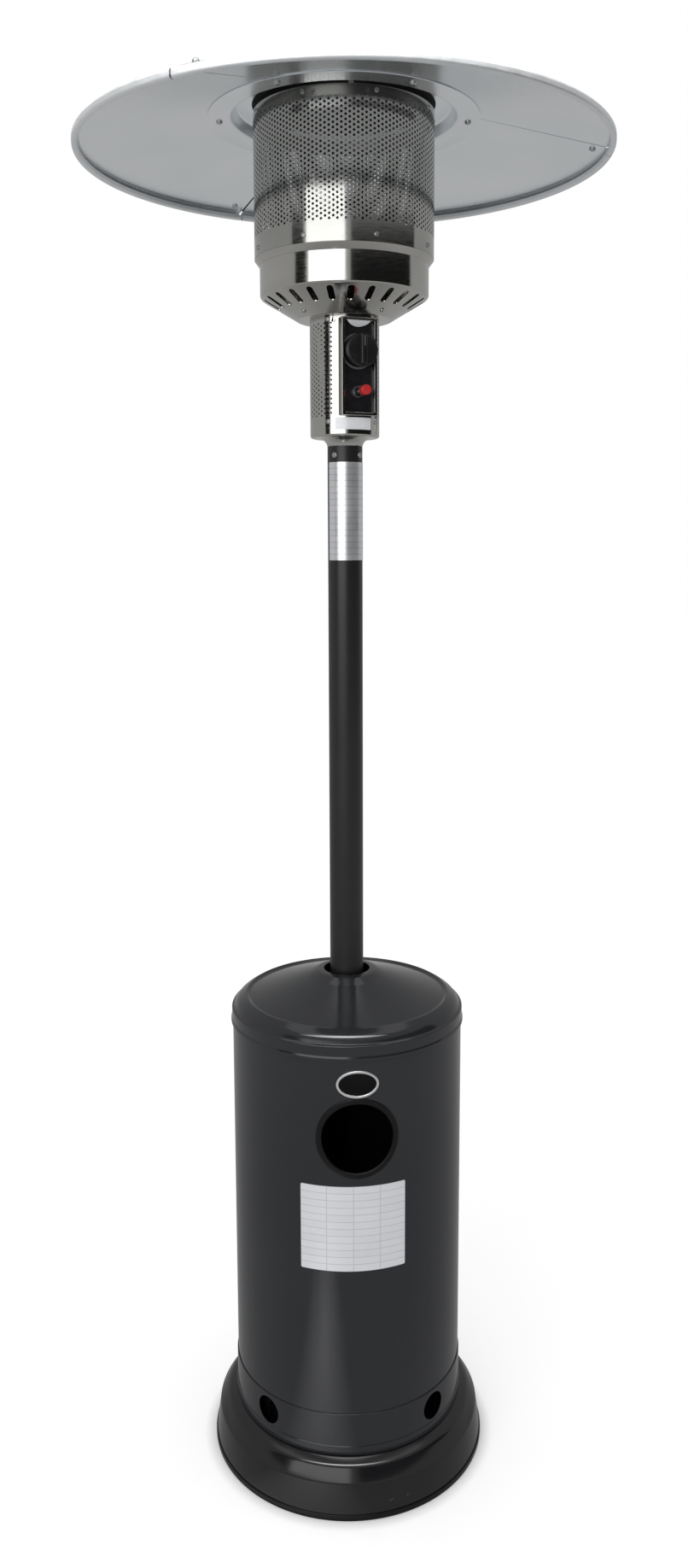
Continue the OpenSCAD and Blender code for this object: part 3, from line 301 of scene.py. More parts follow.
def shades(tree, value, dark, light):
    """Spreads the busy middle of a noise between two colours."""
    ramp = node(tree, "ValToRGB")
    for stop, position, shade in zip(ramp.color_ramp.elements, (0.3, 0.7), (dark, light)):
        stop.position = position
        stop.color = shade
    tree.links.new(value, ramp.inputs["Fac"])
    return ramp.outputs["Color"]


def relief(tree, value, height, strength):
    """Bumps of a height in millimetres."""
    bump = node(tree, "Bump", {"Strength": strength, "Distance": height * MM})
    tree.links.new(value, bump.inputs["Height"])
    return bump.outputs["Normal"]


def new_finish(slot):
    finish = bpy.data.materials.new(slot)
    finish.use_nodes = True
    finishes[slot] = finish
    return finish.node_tree, finish.node_tree.nodes["Principled BSDF"]


def connect(tree, shader, tint, gloss, bumps):
    for name, value in (("Base Color", tint), ("Roughness", gloss), ("Normal", bumps)):
        tree.links.new(value, shader.inputs[name])


# %% [markdown]
# ## Paint
# The housing, base and post are powder-coated: the powder melts into a skin with a faint orange
# peel, which is a fine noise used as relief. It is glossy on the housing and the base and duller on
# the post, and the base is a shade darker than the housing.

# %% Painted steel
def painted(slot, dark, light, gloss, peel):
    tree, shader = new_finish(slot)
    connect(tree, shader, shades(tree, grain(tree, 5, detail=6), dark, light),
            between(tree, grain(tree, 14), *gloss),
            relief(tree, grain(tree, 260, detail=2), 0.25, peel))


painted("housing_paint", colour(37, 38, 41), colour(41, 42, 45), (0.1, 0.15), 0.03)
painted("base_paint", colour(24, 24, 26), colour(28, 28, 30), (0.12, 0.17), 0.03)
painted("post_paint", colour(26, 26, 28), colour(31, 31, 32), (0.3, 0.42), 0.08)
print("painted:", list(finishes))

# %% [markdown]
# ## Bare metal
# Steel and aluminium sheet keep the lines of the rolls and of the polishing belt. A noise packed
# tightly along one axis and loosely along the others gives such lines. Turned and wrapped pieces
# are polished round their axis, so their lines are packed along Z. The same helper makes brass,
# copper and cast iron with other colours.

# %% Metals
def metal(slot, dark, light, gloss, stretch=(1, 1, 1), scale=60, lines=0.02):
    tree, shader = new_finish(slot)
    shader.inputs["Metallic"].default_value = 1
    streak = grain(tree, scale, stretch)
    connect(tree, shader, shades(tree, grain(tree, 7, stretch=(1, 1, 2)), dark, light),
            between(tree, streak, *gloss),
            relief(tree, streak, 0.02, lines))


around = (1, 1, 18)
metal("bright_steel", colour(184, 183, 179), colour(197, 196, 192), (0.08, 0.16), around)
metal("screen_steel", colour(172, 172, 168), colour(188, 187, 184), (0.08, 0.16), around)
metal("plain_steel", colour(168, 169, 168), colour(184, 185, 184), (0.2, 0.32), around)
metal("zinc_steel", colour(176, 178, 180), colour(196, 198, 200), (0.22, 0.36))
metal("reflector_aluminium", colour(240, 244, 247), colour(246, 249, 251), (0.22, 0.26),
      scale=6, lines=0.05)
metal("rolled_edge", colour(240, 243, 245), colour(246, 248, 250), (0.5, 0.6))
metal("lap_shade", colour(196, 200, 204), colour(204, 208, 212), (0.3, 0.4))
metal("badge_chrome", colour(236, 237, 238), colour(244, 245, 246), (0.3, 0.4))
metal("valve_alloy", colour(150, 151, 150), colour(172, 173, 172), (0.34, 0.48), scale=400, lines=0.2)
metal("gas_brass", colour(186, 150, 84), colour(202, 168, 98), (0.2, 0.3))
metal("pilot_copper", colour(186, 116, 84), colour(202, 132, 98), (0.22, 0.32))
metal("burner_iron", colour(72, 70, 68), colour(92, 88, 84), (0.5, 0.66), scale=300, lines=0.3)
print("metals:", len(finishes))

# %% [markdown]
# ## Plastics, rubber and ceramic
# The knob is a matt black moulding, the panel a smooth one, the button a glossy red one. Rubber is
# rougher. The electrode's sleeve is glazed ceramic. The roughest of them is soot and painted shade in
# one dark tone. It goes inside the screen and under the hub over it, where the flame leaves soot and
# shade also falls. It also goes inside the control box and in one lap seam of the reflector, where it
# is painted shade only.

# %% Moulded finishes
def moulded(slot, dark, light, gloss, shine=0.5):
    tree, shader = new_finish(slot)
    shader.inputs["Specular IOR Level"].default_value = shine
    connect(tree, shader, shades(tree, grain(tree, 40), dark, light),
            between(tree, grain(tree, 90), *gloss),
            relief(tree, grain(tree, 1080, detail=2), 0.08, 0.08))


moulded("edge_rubber", colour(6, 6, 7), colour(9, 9, 10), (0.3, 0.4), shine=0.3)
moulded("panel_black", colour(22, 22, 25), colour(28, 28, 31), (0.24, 0.34))
moulded("knob_black", colour(20, 20, 22), colour(27, 27, 29), (0.28, 0.4))
moulded("badge_black", colour(4, 4, 5), colour(6, 6, 7), (0.2, 0.26), shine=0.2)
moulded("button_red", colour(176, 34, 36), colour(192, 44, 44), (0.22, 0.32))
moulded("electrode_ceramic", colour(214, 208, 196), colour(228, 222, 210), (0.16, 0.26))
# soot and painted shade in one dark tone, for hollows where shade falls
moulded("soot_and_painted_shade", colour(20, 19, 19), colour(30, 29, 28), (0.75, 0.9))
moulded("dial_grey", colour(84, 85, 88), colour(98, 99, 102), (0.35, 0.5))
print("finishes:", len(finishes))

# %% [markdown]
# ## Foil
# The plates on the housing, post and box are self-adhesive silver foil. They are left blank. The
# foil has a satin shine and a faint crinkle from being smoothed on by hand. The helper serves the
# ruled foil of the plates later on.

# %% Foil
def crinkled(tree, shader, tint, shine, crinkle):
    shader.inputs["Metallic"].default_value = shine
    connect(tree, shader, tint, between(tree, grain(tree, 30), 0.26, 0.36),
            relief(tree, grain(tree, 45), 0.15, crinkle))


tree, shader = new_finish("foil")
silver = shades(tree, grain(tree, 9), colour(224, 226, 228), colour(234, 236, 238))
crinkled(tree, shader, silver, 0.1, 0.12)

# %% Finishes on the solids
slot_of = {}
for part in frame["record"]["subparts"]:
    slot_of[part["node"]] = part["material_slot"]
for name, solid in frame["nodes"].items():
    solid.data.materials.clear()
    solid.data.materials.append(finishes[slot_of[name]])
print("finishes on", len(slot_of), "solids")

# %% [markdown]
# ## Ways of working
# Most of the heater is sheet metal that was spun on a lathe or rolled from strip, and the modelling
# follows the metal worker. A spun sheet starts as its outline, drawn point by point with Extrude,
# its corners rounded with a vertex bevel, and Spin carries it round the axis. A rolled sheet starts
# flat and is bent to its radius. Only then does Solidify give either of them the thickness of the
# sheet. Points, edges and faces are picked by where they are.

# %% Picking by place
def only(piece):
    clear_picks()
    piece.select_set(True)
    bpy.context.view_layer.objects.active = piece


def edit(piece, kind="VERT"):
    only(piece)
    bpy.context.tool_settings.mesh_select_mode = (kind == "VERT", kind == "EDGE", kind == "FACE")
    bpy.ops.object.mode_set(mode="EDIT")


def leave():
    bpy.ops.object.mode_set(mode="OBJECT")


def pick(piece, kind, test):
    """Opens a piece with those points, edges or faces picked that pass a test on their place in mm."""
    clear_picks()
    mesh = piece.data
    for group in (mesh.vertices, mesh.edges, mesh.polygons):
        group.foreach_set("select", [False] * len(group))
    if kind == "VERT":
        for point in mesh.vertices:
            point.select = test(point.co / MM)
    if kind == "EDGE":
        for line in mesh.edges:
            line.select = test(*(mesh.vertices[i].co / MM for i in line.vertices))
    if kind == "FACE":
        for face in mesh.polygons:
            face.select = test(face.center / MM, face.normal)
    edit(piece, kind)


def all_of(piece):
    edit(piece)
    bpy.ops.mesh.select_all(action="SELECT")


# %% Drawing and spinning an outline
def draw_line(name, corners, turn=0.0):
    """A line through corners (radius, height) in mm, or (radius, height, bend radius), in the upright
    plane that stands at a turn from the front, positive towards +X."""
    ahead = Vector((math.sin(math.radians(turn)), -math.cos(math.radians(turn)), 0))
    points = [(ahead * corner[0] + Vector((0, 0, corner[1]))) * MM for corner in corners]
    piece = add(bpy.ops.mesh.primitive_plane_add, name, size=MM)
    all_of(piece)
    bpy.ops.mesh.merge(type="CENTER")
    bpy.ops.transform.translate(value=points[0])
    for here, there in zip(points, points[1:]):
        bpy.ops.mesh.extrude_region_move(TRANSFORM_OT_translate={"value": there - here})
    leave()
    for before, here, after, corner in zip(points, points[1:], points[2:], corners[1:]):
        if len(corner) == 3:
            bend = (here - before).angle(after - here)
            pick(piece, "VERT", lambda place: (place - here / MM).length < 0.01)
            steps = max(3, round(math.degrees(bend) / 8))
            reach = corner[2] * math.tan(bend / 2)
            bpy.ops.mesh.bevel(affect="VERTICES", offset=reach * MM, segments=steps)
            leave()
    return piece


weld = 0.002 * MM


def spin(piece, sweep=360.0, steps=192):
    """Carries a line round the Z axis, towards +X from the front, and closes the seam and the pole."""
    all_of(piece)
    bpy.ops.mesh.remove_doubles(threshold=weld)
    bpy.ops.mesh.select_all(action="SELECT")
    bpy.ops.mesh.spin(steps=steps, angle=math.radians(sweep), center=(0, 0, 0), axis=(0, 0, -1))
    bpy.ops.mesh.select_all(action="SELECT")
    bpy.ops.mesh.remove_doubles(threshold=weld)
    bpy.ops.mesh.normals_make_consistent(inside=False)
    leave()
    return piece


# %% Sheet thickness, cuts, soft edges and bending
def apply(piece, modifier):
    only(piece)
    bpy.ops.object.modifier_apply(modifier=modifier.name)


def look(piece, way):
    """Turns the faces over if most of them look against a way, which may depend on their place."""
    if sum(face.area * face.normal.dot(way(face.center)) for face in piece.data.polygons) < 0:
        all_of(piece)
        bpy.ops.mesh.flip_normals()
        leave()


def up(place):
    return Vector((0, 0, 1))


def forward(place):
    return Vector((0, -1, 0))


def out(place):
    return Vector((place.x, place.y, 0)).normalized()


def thicken(piece, wall, way=out, side=-1, even=True):
    """Gives a sheet its wall, behind the side that its faces look to."""
    look(piece, way)
    modifier = piece.modifiers.new("wall", "SOLIDIFY")
    modifier.thickness = wall * MM
    modifier.offset = side
    modifier.use_even_offset = even
    apply(piece, modifier)


def soften(piece, width, steps=2, angle=35):
    modifier = piece.modifiers.new("edges", "BEVEL")
    modifier.width = width * MM
    modifier.segments = steps
    modifier.limit_method = "ANGLE"
    modifier.angle_limit = math.radians(angle)
    apply(piece, modifier)


def cut(piece, cutter):
    modifier = piece.modifiers.new("cut", "BOOLEAN")
    modifier.operation = "DIFFERENCE"
    modifier.solver = "EXACT"
    modifier.object = cutter
    apply(piece, modifier)
    bpy.data.objects.remove(cutter)


def set_down(piece, place):
    """Moves a piece to a place and leaves that place in its mesh."""
    piece.matrix_world = place
    only(piece)
    bpy.ops.object.transform_apply(location=True, rotation=True, scale=True)


def wrap(piece, radius, turn, height):
    """Bends a flat piece in the XZ plane, whose front looks to -Y, round the Z axis."""
    across = [point.co.x for point in piece.data.vertices]
    modifier = piece.modifiers.new("bend", "SIMPLE_DEFORM")
    modifier.deform_method = "BEND"
    modifier.deform_axis = "Z"
    modifier.angle = (max(across) - min(across)) / (radius * MM)
    apply(piece, modifier)
    step = Matrix.Translation((0, -radius * MM, height * MM))
    set_down(piece, Matrix.Rotation(math.radians(turn), 4, "Z") @ step)


# %% Places and copies
stood_up = Matrix.Rotation(math.pi / 2, 4, "X")


def facing(turn, height, reach=0.0):
    """A place on a round wall: +Z looks out of the wall and +Y looks up."""
    step = Matrix.Translation((0, -reach * MM, height * MM))
    return Matrix.Rotation(math.radians(turn), 4, "Z") @ step @ stood_up


def rod(radius, length, place, sides=48):
    piece = add(bpy.ops.mesh.primitive_cylinder_add, vertices=sides,
                radius=radius * MM, depth=length * MM)
    set_down(piece, place)
    return piece


def block(x, y, z, place):
    piece = add(bpy.ops.mesh.primitive_cube_add, size=1)
    set_down(piece, place @ Matrix.Diagonal((x * MM, y * MM, z * MM, 1)))
    return piece


def raised(height):
    """A place on the Z axis, at a height in mm."""
    return Matrix.Translation((0, 0, height * MM))


def joined(name, pieces):
    clear_picks()
    for piece in pieces:
        piece.select_set(True)
    bpy.context.view_layer.objects.active = pieces[0]
    bpy.ops.object.join()
    pieces[0].name = name
    return pieces[0]


def copies(name, model, places):
    """One piece out of copies of a model, each with a mesh of its own; the model itself goes away."""
    made = []
    for place in places:
        copy = model.copy()
        copy.data = model.data.copy()
        bpy.context.scene.collection.objects.link(copy)
        set_down(copy, place)
        made.append(copy)
    bpy.data.objects.remove(model)
    return joined(name, made)


def fit(piece, body, slot, *stands_for, smooth=35):
    """Finishes a piece: smooth shading, finish, the body it moves with, the solids it stands for."""
    set_down(piece, piece.matrix_world.copy())
    bpy.ops.object.shade_smooth_by_angle(angle=math.radians(smooth))
    piece.data.name = piece.name
    piece.data.materials.clear()
    piece.data.materials.append(finishes[slot])
    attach(piece, body)
    if stands_for:
        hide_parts(*stands_for)
    print(piece.name, "has", len(piece.data.polygons), "faces")
    return piece


sheet = 1.2
housing_r = 190
on_housing = housing_r + 0.2

# %% [markdown]
# ## Base
# The base is one steel pan, drawn deep in a press: a nearly upright skirt, a bend, a sloping
# shoulder, a second bend and a crown that rises a little to the deck. Two bends close together are
# what puts two bright lines round it. Two holes in the skirt take a wheel bracket.

# %% Base pan
base_line = [(228.2, 3), (228.2, 12, 20), (221.7, 58, 8), (207.5, 79, 14), (192.2, 84, 3), (189.2, 84)]
base = spin(draw_line("base_shell", base_line))
thicken(base, sheet)
bracket_turn, bracket_step, bracket_z, bracket_hole_r, skirt_r = 16.5, 3.67, 26, 3.3, 226
for side in (-1, 1):
    cut(base, rod(bracket_hole_r, 24, facing(bracket_turn + side * bracket_step, bracket_z, skirt_r)))
fit(base, "heater", "base_paint", "base_pan")

# %% [markdown]
# ## Edge trim
# A rubber strip of U section is pushed over the pan's raw edge, so that it doesn't scratch the
# patio. Its outline is a closed loop with rounded outer corners; spinning a closed loop gives a
# solid ring with no wall to add.

# %% Edge trim
trim_line = [(228.4, 3), (228.4, 10), (229.2, 10), (230, 9.2, 0.7), (230, 0.8, 0.8), (229.2, 0),
             (226, 0), (225.2, 0.8, 0.8), (225.2, 10), (226.8, 10), (226.8, 3), (228.4, 3)]
trim = spin(draw_line("edge_trim", trim_line))
fit(trim, "heater", "edge_rubber", "base_edge_trim")

# %% [markdown]
# ## Housing foot
# The foot band is rolled from strip, with a hem folded outwards at the bottom, and four round vents
# are punched through it so that leaking gas can fall out. It is spun from its outline here, because
# the hem is then one bend after the other, and the vents are cut with rods set round the wall.

# %% Foot band
band_line = [(190.4, 84.5), (193, 84.5, 2), (193, 99.3, 2), (191.5, 101, 2), (191.5, 155.3, 0.8),
             (190.3, 155.5)]
band = spin(draw_line("foot_band", band_line))
thicken(band, sheet)
vent_r, vent_z, band_r = 22.5, 126.3, 191
for turn in (42, 132, 222, 312):
    cut(band, rod(vent_r, 30, facing(turn, vent_z, band_r), 72))
fit(band, "tank_cover", "housing_paint", "housing_band")

# %% [markdown]
# ## Cap
# The cap is pressed: a skirt that slips over the wall, with its edge rolled outwards, a small step,
# a sloping shoulder, a crease that stiffens it, and a shallow cone that rises to a boss with the
# hole for the post. All of it is one outline.

# %% Cap
cap_line = [(191.4, 745.3), (192.9, 745.3, 0.7), (192.9, 750, 2.4), (191.4, 753, 2.4),
            (191.4, 768.8, 1.4), (187, 770.8, 2), (182, 780.05, 22), (167, 789.3, 3), (161, 786.3, 3),
            (65, 819.8, 60), (49, 826.8, 8), (42, 827.8, 2), (38, 827.8)]
cap = spin(draw_line("cap_shell", cap_line))
thicken(cap, sheet, up)
fit(cap, "tank_cover", "housing_paint", "housing_cap")

# %% [markdown]
# ## Hand-hole grommet
# A rubber grommet covers the sharp edge of the hand hole. It is a ring with a lip on each side of
# the wall. The ring is spun flat, stood up, and then bent with the wall, so its lips lie on the
# round sheet.

# %% Grommet
lip_line = [(58.6, 0.2), (65.5, 0.2), (65.5, 1.8, 1.4), (60, 2.6, 3), (56.4, 1.6, 1.4),
            (56.4, -2.8, 1.2), (57.4, -3.5), (63, -3.5), (63, -1.4), (58.6, -1.4), (58.6, 0.2)]
hand_hole_z = 619.8
grommet = spin(draw_line("grommet", lip_line), steps=96)
set_down(grommet, stood_up)
wrap(grommet, housing_r, 0, hand_hole_z)
fit(grommet, "tank_cover", "edge_rubber", "hand_hole_grommet")

# %% [markdown]
# ## Badge
# An oval badge sits above the hand hole: a chromed rim round a black glossy field, left bare here.
# One oval face is inset; the inner face is split off as the field and domed with three more insets,
# and the ring that stays is thickened and rounded.

# %% Badge
badge_w, badge_h, badge_z, rim_w = 66, 44, 708.3, 3.8
rim = add(bpy.ops.mesh.primitive_circle_add, "badge_ring", vertices=96, radius=0.5, fill_type="NGON")
set_down(rim, stood_up @ Matrix.Diagonal((badge_w * MM, badge_h * MM, 1, 1)))
edit(rim, "FACE")
bpy.ops.mesh.select_all(action="SELECT")
bpy.ops.mesh.inset(thickness=rim_w * MM)
bpy.ops.mesh.separate(type="SELECTED")
leave()
field = next(piece for piece in bpy.context.selected_objects if piece != rim)
field.name = "badge_field"
thicken(rim, 2.4, forward, side=1)
soften(rim, 0.7, 3)
wrap(rim, on_housing, 0, badge_z)
fit(rim, "tank_cover", "badge_chrome", "badge_rim")

edit(field, "FACE")
bpy.ops.mesh.select_all(action="SELECT")
for width, rise in ((2, 0.35), (4, 0.4), (6, 0.25)):
    bpy.ops.mesh.inset(thickness=width * MM, depth=rise * MM)
leave()
thicken(field, 0.8, forward, side=1)
wrap(field, on_housing, 0, badge_z)
fit(field, "tank_cover", "badge_black", "badge_face")

# %% [markdown]
# ## Foil plates
# Three self-adhesive foil plates belong to such a heater: a data plate on the housing, a long one
# round the top of the post and a strip under the controls. They stay blank. The two large ones have
# a ruled table, which is a brick pattern on the plate's own UV map with wide bricks and thin
# mortar, so the lines follow the bent foil.

# %% Ruled foil
def ruled(name, cell_w, cell_h, shine):
    tree, shader = new_finish(name)
    cells = {"Color1": colour(232, 234, 236), "Color2": colour(227, 229, 232),
             "Mortar": colour(202, 205, 209), "Mortar Size": 0.004,
             "Brick Width": cell_w, "Row Height": cell_h, "Scale": 1}
    table = node(tree, "TexBrick", cells)
    table.offset = 0
    tree.links.new(node(tree, "UVMap").outputs["UV"], table.inputs["Vector"])
    crinkled(tree, shader, table.outputs["Color"], shine, 0.1)


ruled("data_foil", 0.25, 0.0833, 0.15)
ruled("post_foil", 0.5, 0.0625, 0.75)


# %% Plates
def plate(name, width, height, foil, radius, turn, z, body, stands_for):
    """A foil with rounded corners, stuck on a round wall."""
    piece = add(bpy.ops.mesh.primitive_grid_add, name, x_subdivisions=48, y_subdivisions=6, size=1)
    set_down(piece, stood_up @ Matrix.Diagonal((width * MM, height * MM, 1, 1)))
    half_w, half_h = width / 2, height / 2
    pick(piece, "VERT", lambda p: abs(p.x) > half_w - 0.1 and abs(p.z) > half_h - 0.1)
    bpy.ops.mesh.bevel(affect="VERTICES", offset=width / 60 * MM, segments=4)
    leave()
    thicken(piece, 0.4, forward, side=1)
    wrap(piece, radius, turn, z)
    fit(piece, body, foil, stands_for)


post_r = 27.5
box_r = 54
plate("data_plate", 169, 141, "data_foil", on_housing, -2, 470.8, "tank_cover", "rating_plate")
plate("post_foil_plate", 86.7, 152, "post_foil", post_r + 0.1, 22, 1576.8, "heater", "post_plate")
plate("control_strip", 59, 18, "foil", box_r + 0.1, 11, 1708.8, "heater", "strip_plate")

# %% [markdown]
# ## Neck
# A small spun funnel joins the slim post to the control box. Its flare is hollow, as metal takes it
# when it is pushed over a former: one outline with a soft inner bend.

# %% Neck
neck = draw_line("neck_funnel", [(27.6, 1677.6), (27.9, 1679), (29.6, 1684.6, 12), (38.5, 1689.9)])
spin(neck, steps=96)
thicken(neck, sheet)
fit(neck, "heater", "bright_steel", "neck")

# %% [markdown]
# ## Punched sheet
# The control box and the emitter screen are rolled from punched sheet, with round holes in
# staggered columns. Cutting thousands of holes one by one would be slow and would leave untidy
# faces. Instead one cell is modelled: a hexagon with a round hole, which tiles without gaps. Arrays
# repeat it up a column, into a pair of staggered columns and along the sheet, and its ragged top
# and bottom are extruded into straight plain borders.

# %% One cell, one sheet
loose_weld = 0.02 * MM


def punched_sheet(name, pitch, hole, columns, rows, width, low, high):
    """A flat punched sheet in the XZ plane. Its field of holes is width mm wide with its middle at the
    origin, and plain borders reach from low to high, all in mm."""
    corner_r = pitch / math.sqrt(3)
    piece = add(bpy.ops.mesh.primitive_circle_add, name, vertices=6, radius=corner_r * MM)
    all_of(piece)
    bpy.ops.mesh.subdivide(number_cuts=1)
    bpy.ops.mesh.select_all(action="SELECT")
    bpy.ops.mesh.extrude_edges_move()
    mean_reach = 0.933  # of the hexagon's corners and of the middles of its sides
    shrink = hole / (2 * mean_reach * corner_r)
    bpy.ops.transform.resize(value=(shrink, shrink, shrink), center_override=(0, 0, 0))
    bpy.ops.transform.tosphere(value=1)
    leave()
    step = width / columns
    quarter_turn = Matrix.Rotation(math.pi / 2, 4, "Z")
    stretch = Matrix.Diagonal((step / (pitch * math.sqrt(3) / 2), 1, 1, 1))
    set_down(piece, stretch @ stood_up @ quarter_turn)
    repeats = ((rows, (0, 0, pitch)), (2, (step, 0, pitch / 2)), (columns // 2, (2 * step, 0, 0)))
    for count, shift in repeats:
        modifier = piece.modifiers.new("repeat", "ARRAY")
        modifier.count = count
        modifier.use_relative_offset = False
        modifier.use_constant_offset = True
        modifier.constant_offset_displace = Vector(shift) * MM
        apply(piece, modifier)
    first = Vector((-(columns - 1) / 2 * step, 0, -(rows - 0.5) / 2 * pitch))
    set_down(piece, Matrix.Translation(first * MM))
    all_of(piece)
    bpy.ops.mesh.remove_doubles(threshold=loose_weld)
    leave()

    def on_hole(place):
        """Whether a point lies on the rim of one of the holes near it."""
        column = (place.x - first.x) / step
        for near in (math.floor(column), math.ceil(column)):
            start = first.z + (near % 2) * pitch / 2
            row = round((place.z - start) / pitch)
            beside, above = place.x - first.x - near * step, place.z - start - row * pitch
            if math.hypot(beside, above) < hole * 0.6:
                return True
        return False

    reach = (rows - 0.5) / 2 * pitch - 0.1
    for border, side in ((high, 1), (low, -1)):
        pick(piece, "VERT", lambda p: side * p.z > reach and not on_hole(p))
        bpy.ops.mesh.extrude_edges_move()
        bpy.ops.transform.resize(value=(1, 1, 0), center_override=(0, 0, border * MM))
        leave()
    all_of(piece)
    bpy.ops.mesh.normals_make_consistent(inside=False)
    leave()
    return piece


def touch(piece, finish, test):
    """One more finish, on the faces that pass a test on their place in mm and their normal."""
    piece.data.materials.append(finishes[finish])
    last = len(piece.data.materials) - 1
    for face in piece.data.polygons:
        if test(face.center / MM, face.normal):
            face.material_index = last


def inwards(place, normal):
    return normal.dot(out(place)) < -0.4


# %% [markdown]
# ## Control box
# The box is a drum of punched steel with a plain front. The punched sheet goes round the back; a
# plain strip with a window closes the front; a shallow pressed floor with a round edge closes the
# bottom.

# %% Control box
box_turn, box_z, box_top = 17.5, 1689.8, 1867.8
wall_low, wall_high = 1694.5, box_top - 0.2
field_sweep, rows_z = 277.6, 1789.5
round_back = math.radians(field_sweep) * box_r
box_back = punched_sheet("box_back", 7, 2.9, 44, 20, round_back, wall_low - rows_z, wall_high - rows_z)
side_x = round_back / 2 + 3.2
for side in (-1, 1):
    pick(box_back, "VERT", lambda p: side * p.x > round_back / 2 - 1.2)
    bpy.ops.mesh.extrude_edges_move()
    bpy.ops.transform.resize(value=(0, 1, 1), center_override=(side * side_x * MM, 0, 0))
    leave()
wrap(box_back, box_r, box_turn + 180, rows_z)
print("punched back:", len(box_back.data.polygons), "faces")

# %% Control box front and floor
front_sweep = 360 - 2 * math.degrees(side_x / box_r)
front_line = [(box_r, wall_low), (box_r, 1719), (box_r, 1865), (box_r, wall_high)]
front = spin(draw_line("box_front", front_line, box_turn - front_sweep / 2), front_sweep, 24)
floor_line = [(37, box_z), (box_r, box_z, 4.2), (box_r, wall_low)]
under = spin(draw_line("box_floor", floor_line), steps=96)
for piece in (box_back, front, under):
    look(piece, out)
box = joined("control_drum", [box_back, front, under])
all_of(box)
bpy.ops.mesh.remove_doubles(threshold=loose_weld)
leave()
thicken(box, 1.0, even=False)
window_w, window_h, window_z = 49.5, 136, 1792.55
cut(box, block(window_w, window_h, 30, facing(box_turn, window_z, box_r)))
fit(box, "heater", "bright_steel", "control_box")
# the inner faces are painted dark: painted shade behind the holes
touch(box, "soot_and_painted_shade", inwards)

# %% [markdown]
# ## Bezel
# A bright frame stands out of the drum round the control panel. It is a block whose front face is
# inset to leave the lip and pushed back to make the recess; the floor of the recess and the back
# are then taken away.

# %% Bezel
bezel_w, bezel_h, bezel_front, bezel_back, lip = 57.5, 144.5, 61, 44, 4.4
bezel = block(bezel_w, bezel_h, bezel_front - bezel_back, raised((bezel_front + bezel_back) / 2))
bezel.name = "bezel_frame"
pick(bezel, "EDGE", lambda a, b: abs(a.x - b.x) < 0.1 and abs(a.y - b.y) < 0.1)
bpy.ops.mesh.bevel(offset=2 * MM, segments=4)
leave()
pick(bezel, "FACE", lambda place, normal: normal.z > 0.9)
bpy.ops.mesh.inset(thickness=lip * MM)
bpy.ops.mesh.extrude_region_move(TRANSFORM_OT_translate={"value": (0, 0, -10 * MM)})
bpy.ops.mesh.delete(type="FACE")
leave()
pick(bezel, "FACE", lambda place, normal: normal.z < -0.9)
bpy.ops.mesh.delete(type="FACE")
leave()
soften(bezel, 0.7, 3)
set_down(bezel, facing(box_turn, window_z))
fit(bezel, "heater", "bright_steel", "control_bezel")

# %% [markdown]
# ## Brow
# At the top of the recess a lens-shaped piece of sheet slopes back from the lip to the panel and
# keeps rain off the knob. It gets the pale foil finish of the plates, a painted reflection that keeps
# it white even where it is in shade. It is a slice of a disc: the disc is cut with Bisect along its
# chord, thickened and tilted into place.

# %% Brow
brow_r, brow_chord, brow_tilt = 24, 43, math.radians(32.7)
brow_in = math.sqrt(brow_r ** 2 - (brow_chord / 2) ** 2)
brow = add(bpy.ops.mesh.primitive_circle_add, "brow", vertices=96, radius=brow_r * MM, fill_type="NGON")
all_of(brow)
bpy.ops.mesh.bisect(plane_co=(0, -brow_in * MM, 0), plane_no=(0, 1, 0), clear_outer=True)
leave()
thicken(brow, 1, up)
soften(brow, 0.3)
brow_up, brow_front = 70.2, 60
tilt = Matrix.Translation((0, brow_up * MM, brow_front * MM)) @ Matrix.Rotation(brow_tilt, 4, "X")
set_down(brow, facing(box_turn, window_z) @ tilt @ Matrix.Translation((0, brow_in * MM, 0)))
# the pale foil is a painted reflection: the brow stays white in shade
fit(brow, "heater", "foil")

# %% [markdown]
# ## Knob
# The knob is one black moulding: a disc with a ribbed edge, which is every other side face of a
# cylinder pushed in, and a grip bar across it that narrows towards its top. A pale line on the grip
# points at the setting.

# %% Knob
knob_z, knob_back, knob_r, knob_rim, knob_front = 1815.8, 66, 25, 6, 81
knob = rod(knob_r, knob_rim, raised(knob_back + knob_rim / 2), 96)
knob.name = "knob_disc"
pick(knob, "FACE", lambda place, normal: normal.z > 0.9)
bpy.ops.mesh.inset(thickness=2.2 * MM)
bpy.ops.transform.translate(value=(0, 0, 1.1 * MM))
bpy.ops.mesh.inset(thickness=1.2 * MM)
bpy.ops.transform.translate(value=(0, 0, 0.2 * MM))
leave()
ribs = 48
pick(knob, "FACE", lambda place, normal: abs(normal.z) < 0.1
     and round(math.degrees(math.atan2(place.y, place.x)) * ribs / 180 - 0.5) % 2 == 0)
bpy.ops.mesh.inset(use_individual=True, thickness=0.3 * MM, depth=-0.8 * MM)
leave()
grip_w, grip_len, grip_h = 13, 46, 10
grip = block(grip_w, grip_len, grip_h, raised(knob_front - grip_h / 2))
pick(grip, "FACE", lambda place, normal: normal.z > 0.9)
bpy.ops.transform.resize(value=(0.72, 0.95, 1), center_override=(0, 0, knob_front * MM))
leave()
soften(grip, 1.8, 4)
knob = joined("control_knob", [knob, grip])
set_down(knob, facing(box_turn, knob_z))
fit(knob, "knob", "knob_black", "knob")

pointer = block(1.6, 15, 0.5, Matrix.Translation((0, 12 * MM, (knob_front + 0.1) * MM)))
pointer.name = "knob_pointer"
soften(pointer, 0.2)
set_down(pointer, facing(box_turn, knob_z))
fit(pointer, "knob", "dial_grey")

# %% [markdown]
# ## Igniter button
# The red button is a short moulded cylinder on a steel shank. Its front is dished for a thumb: two
# insets, the second pushed back, and the rim is rounded over.

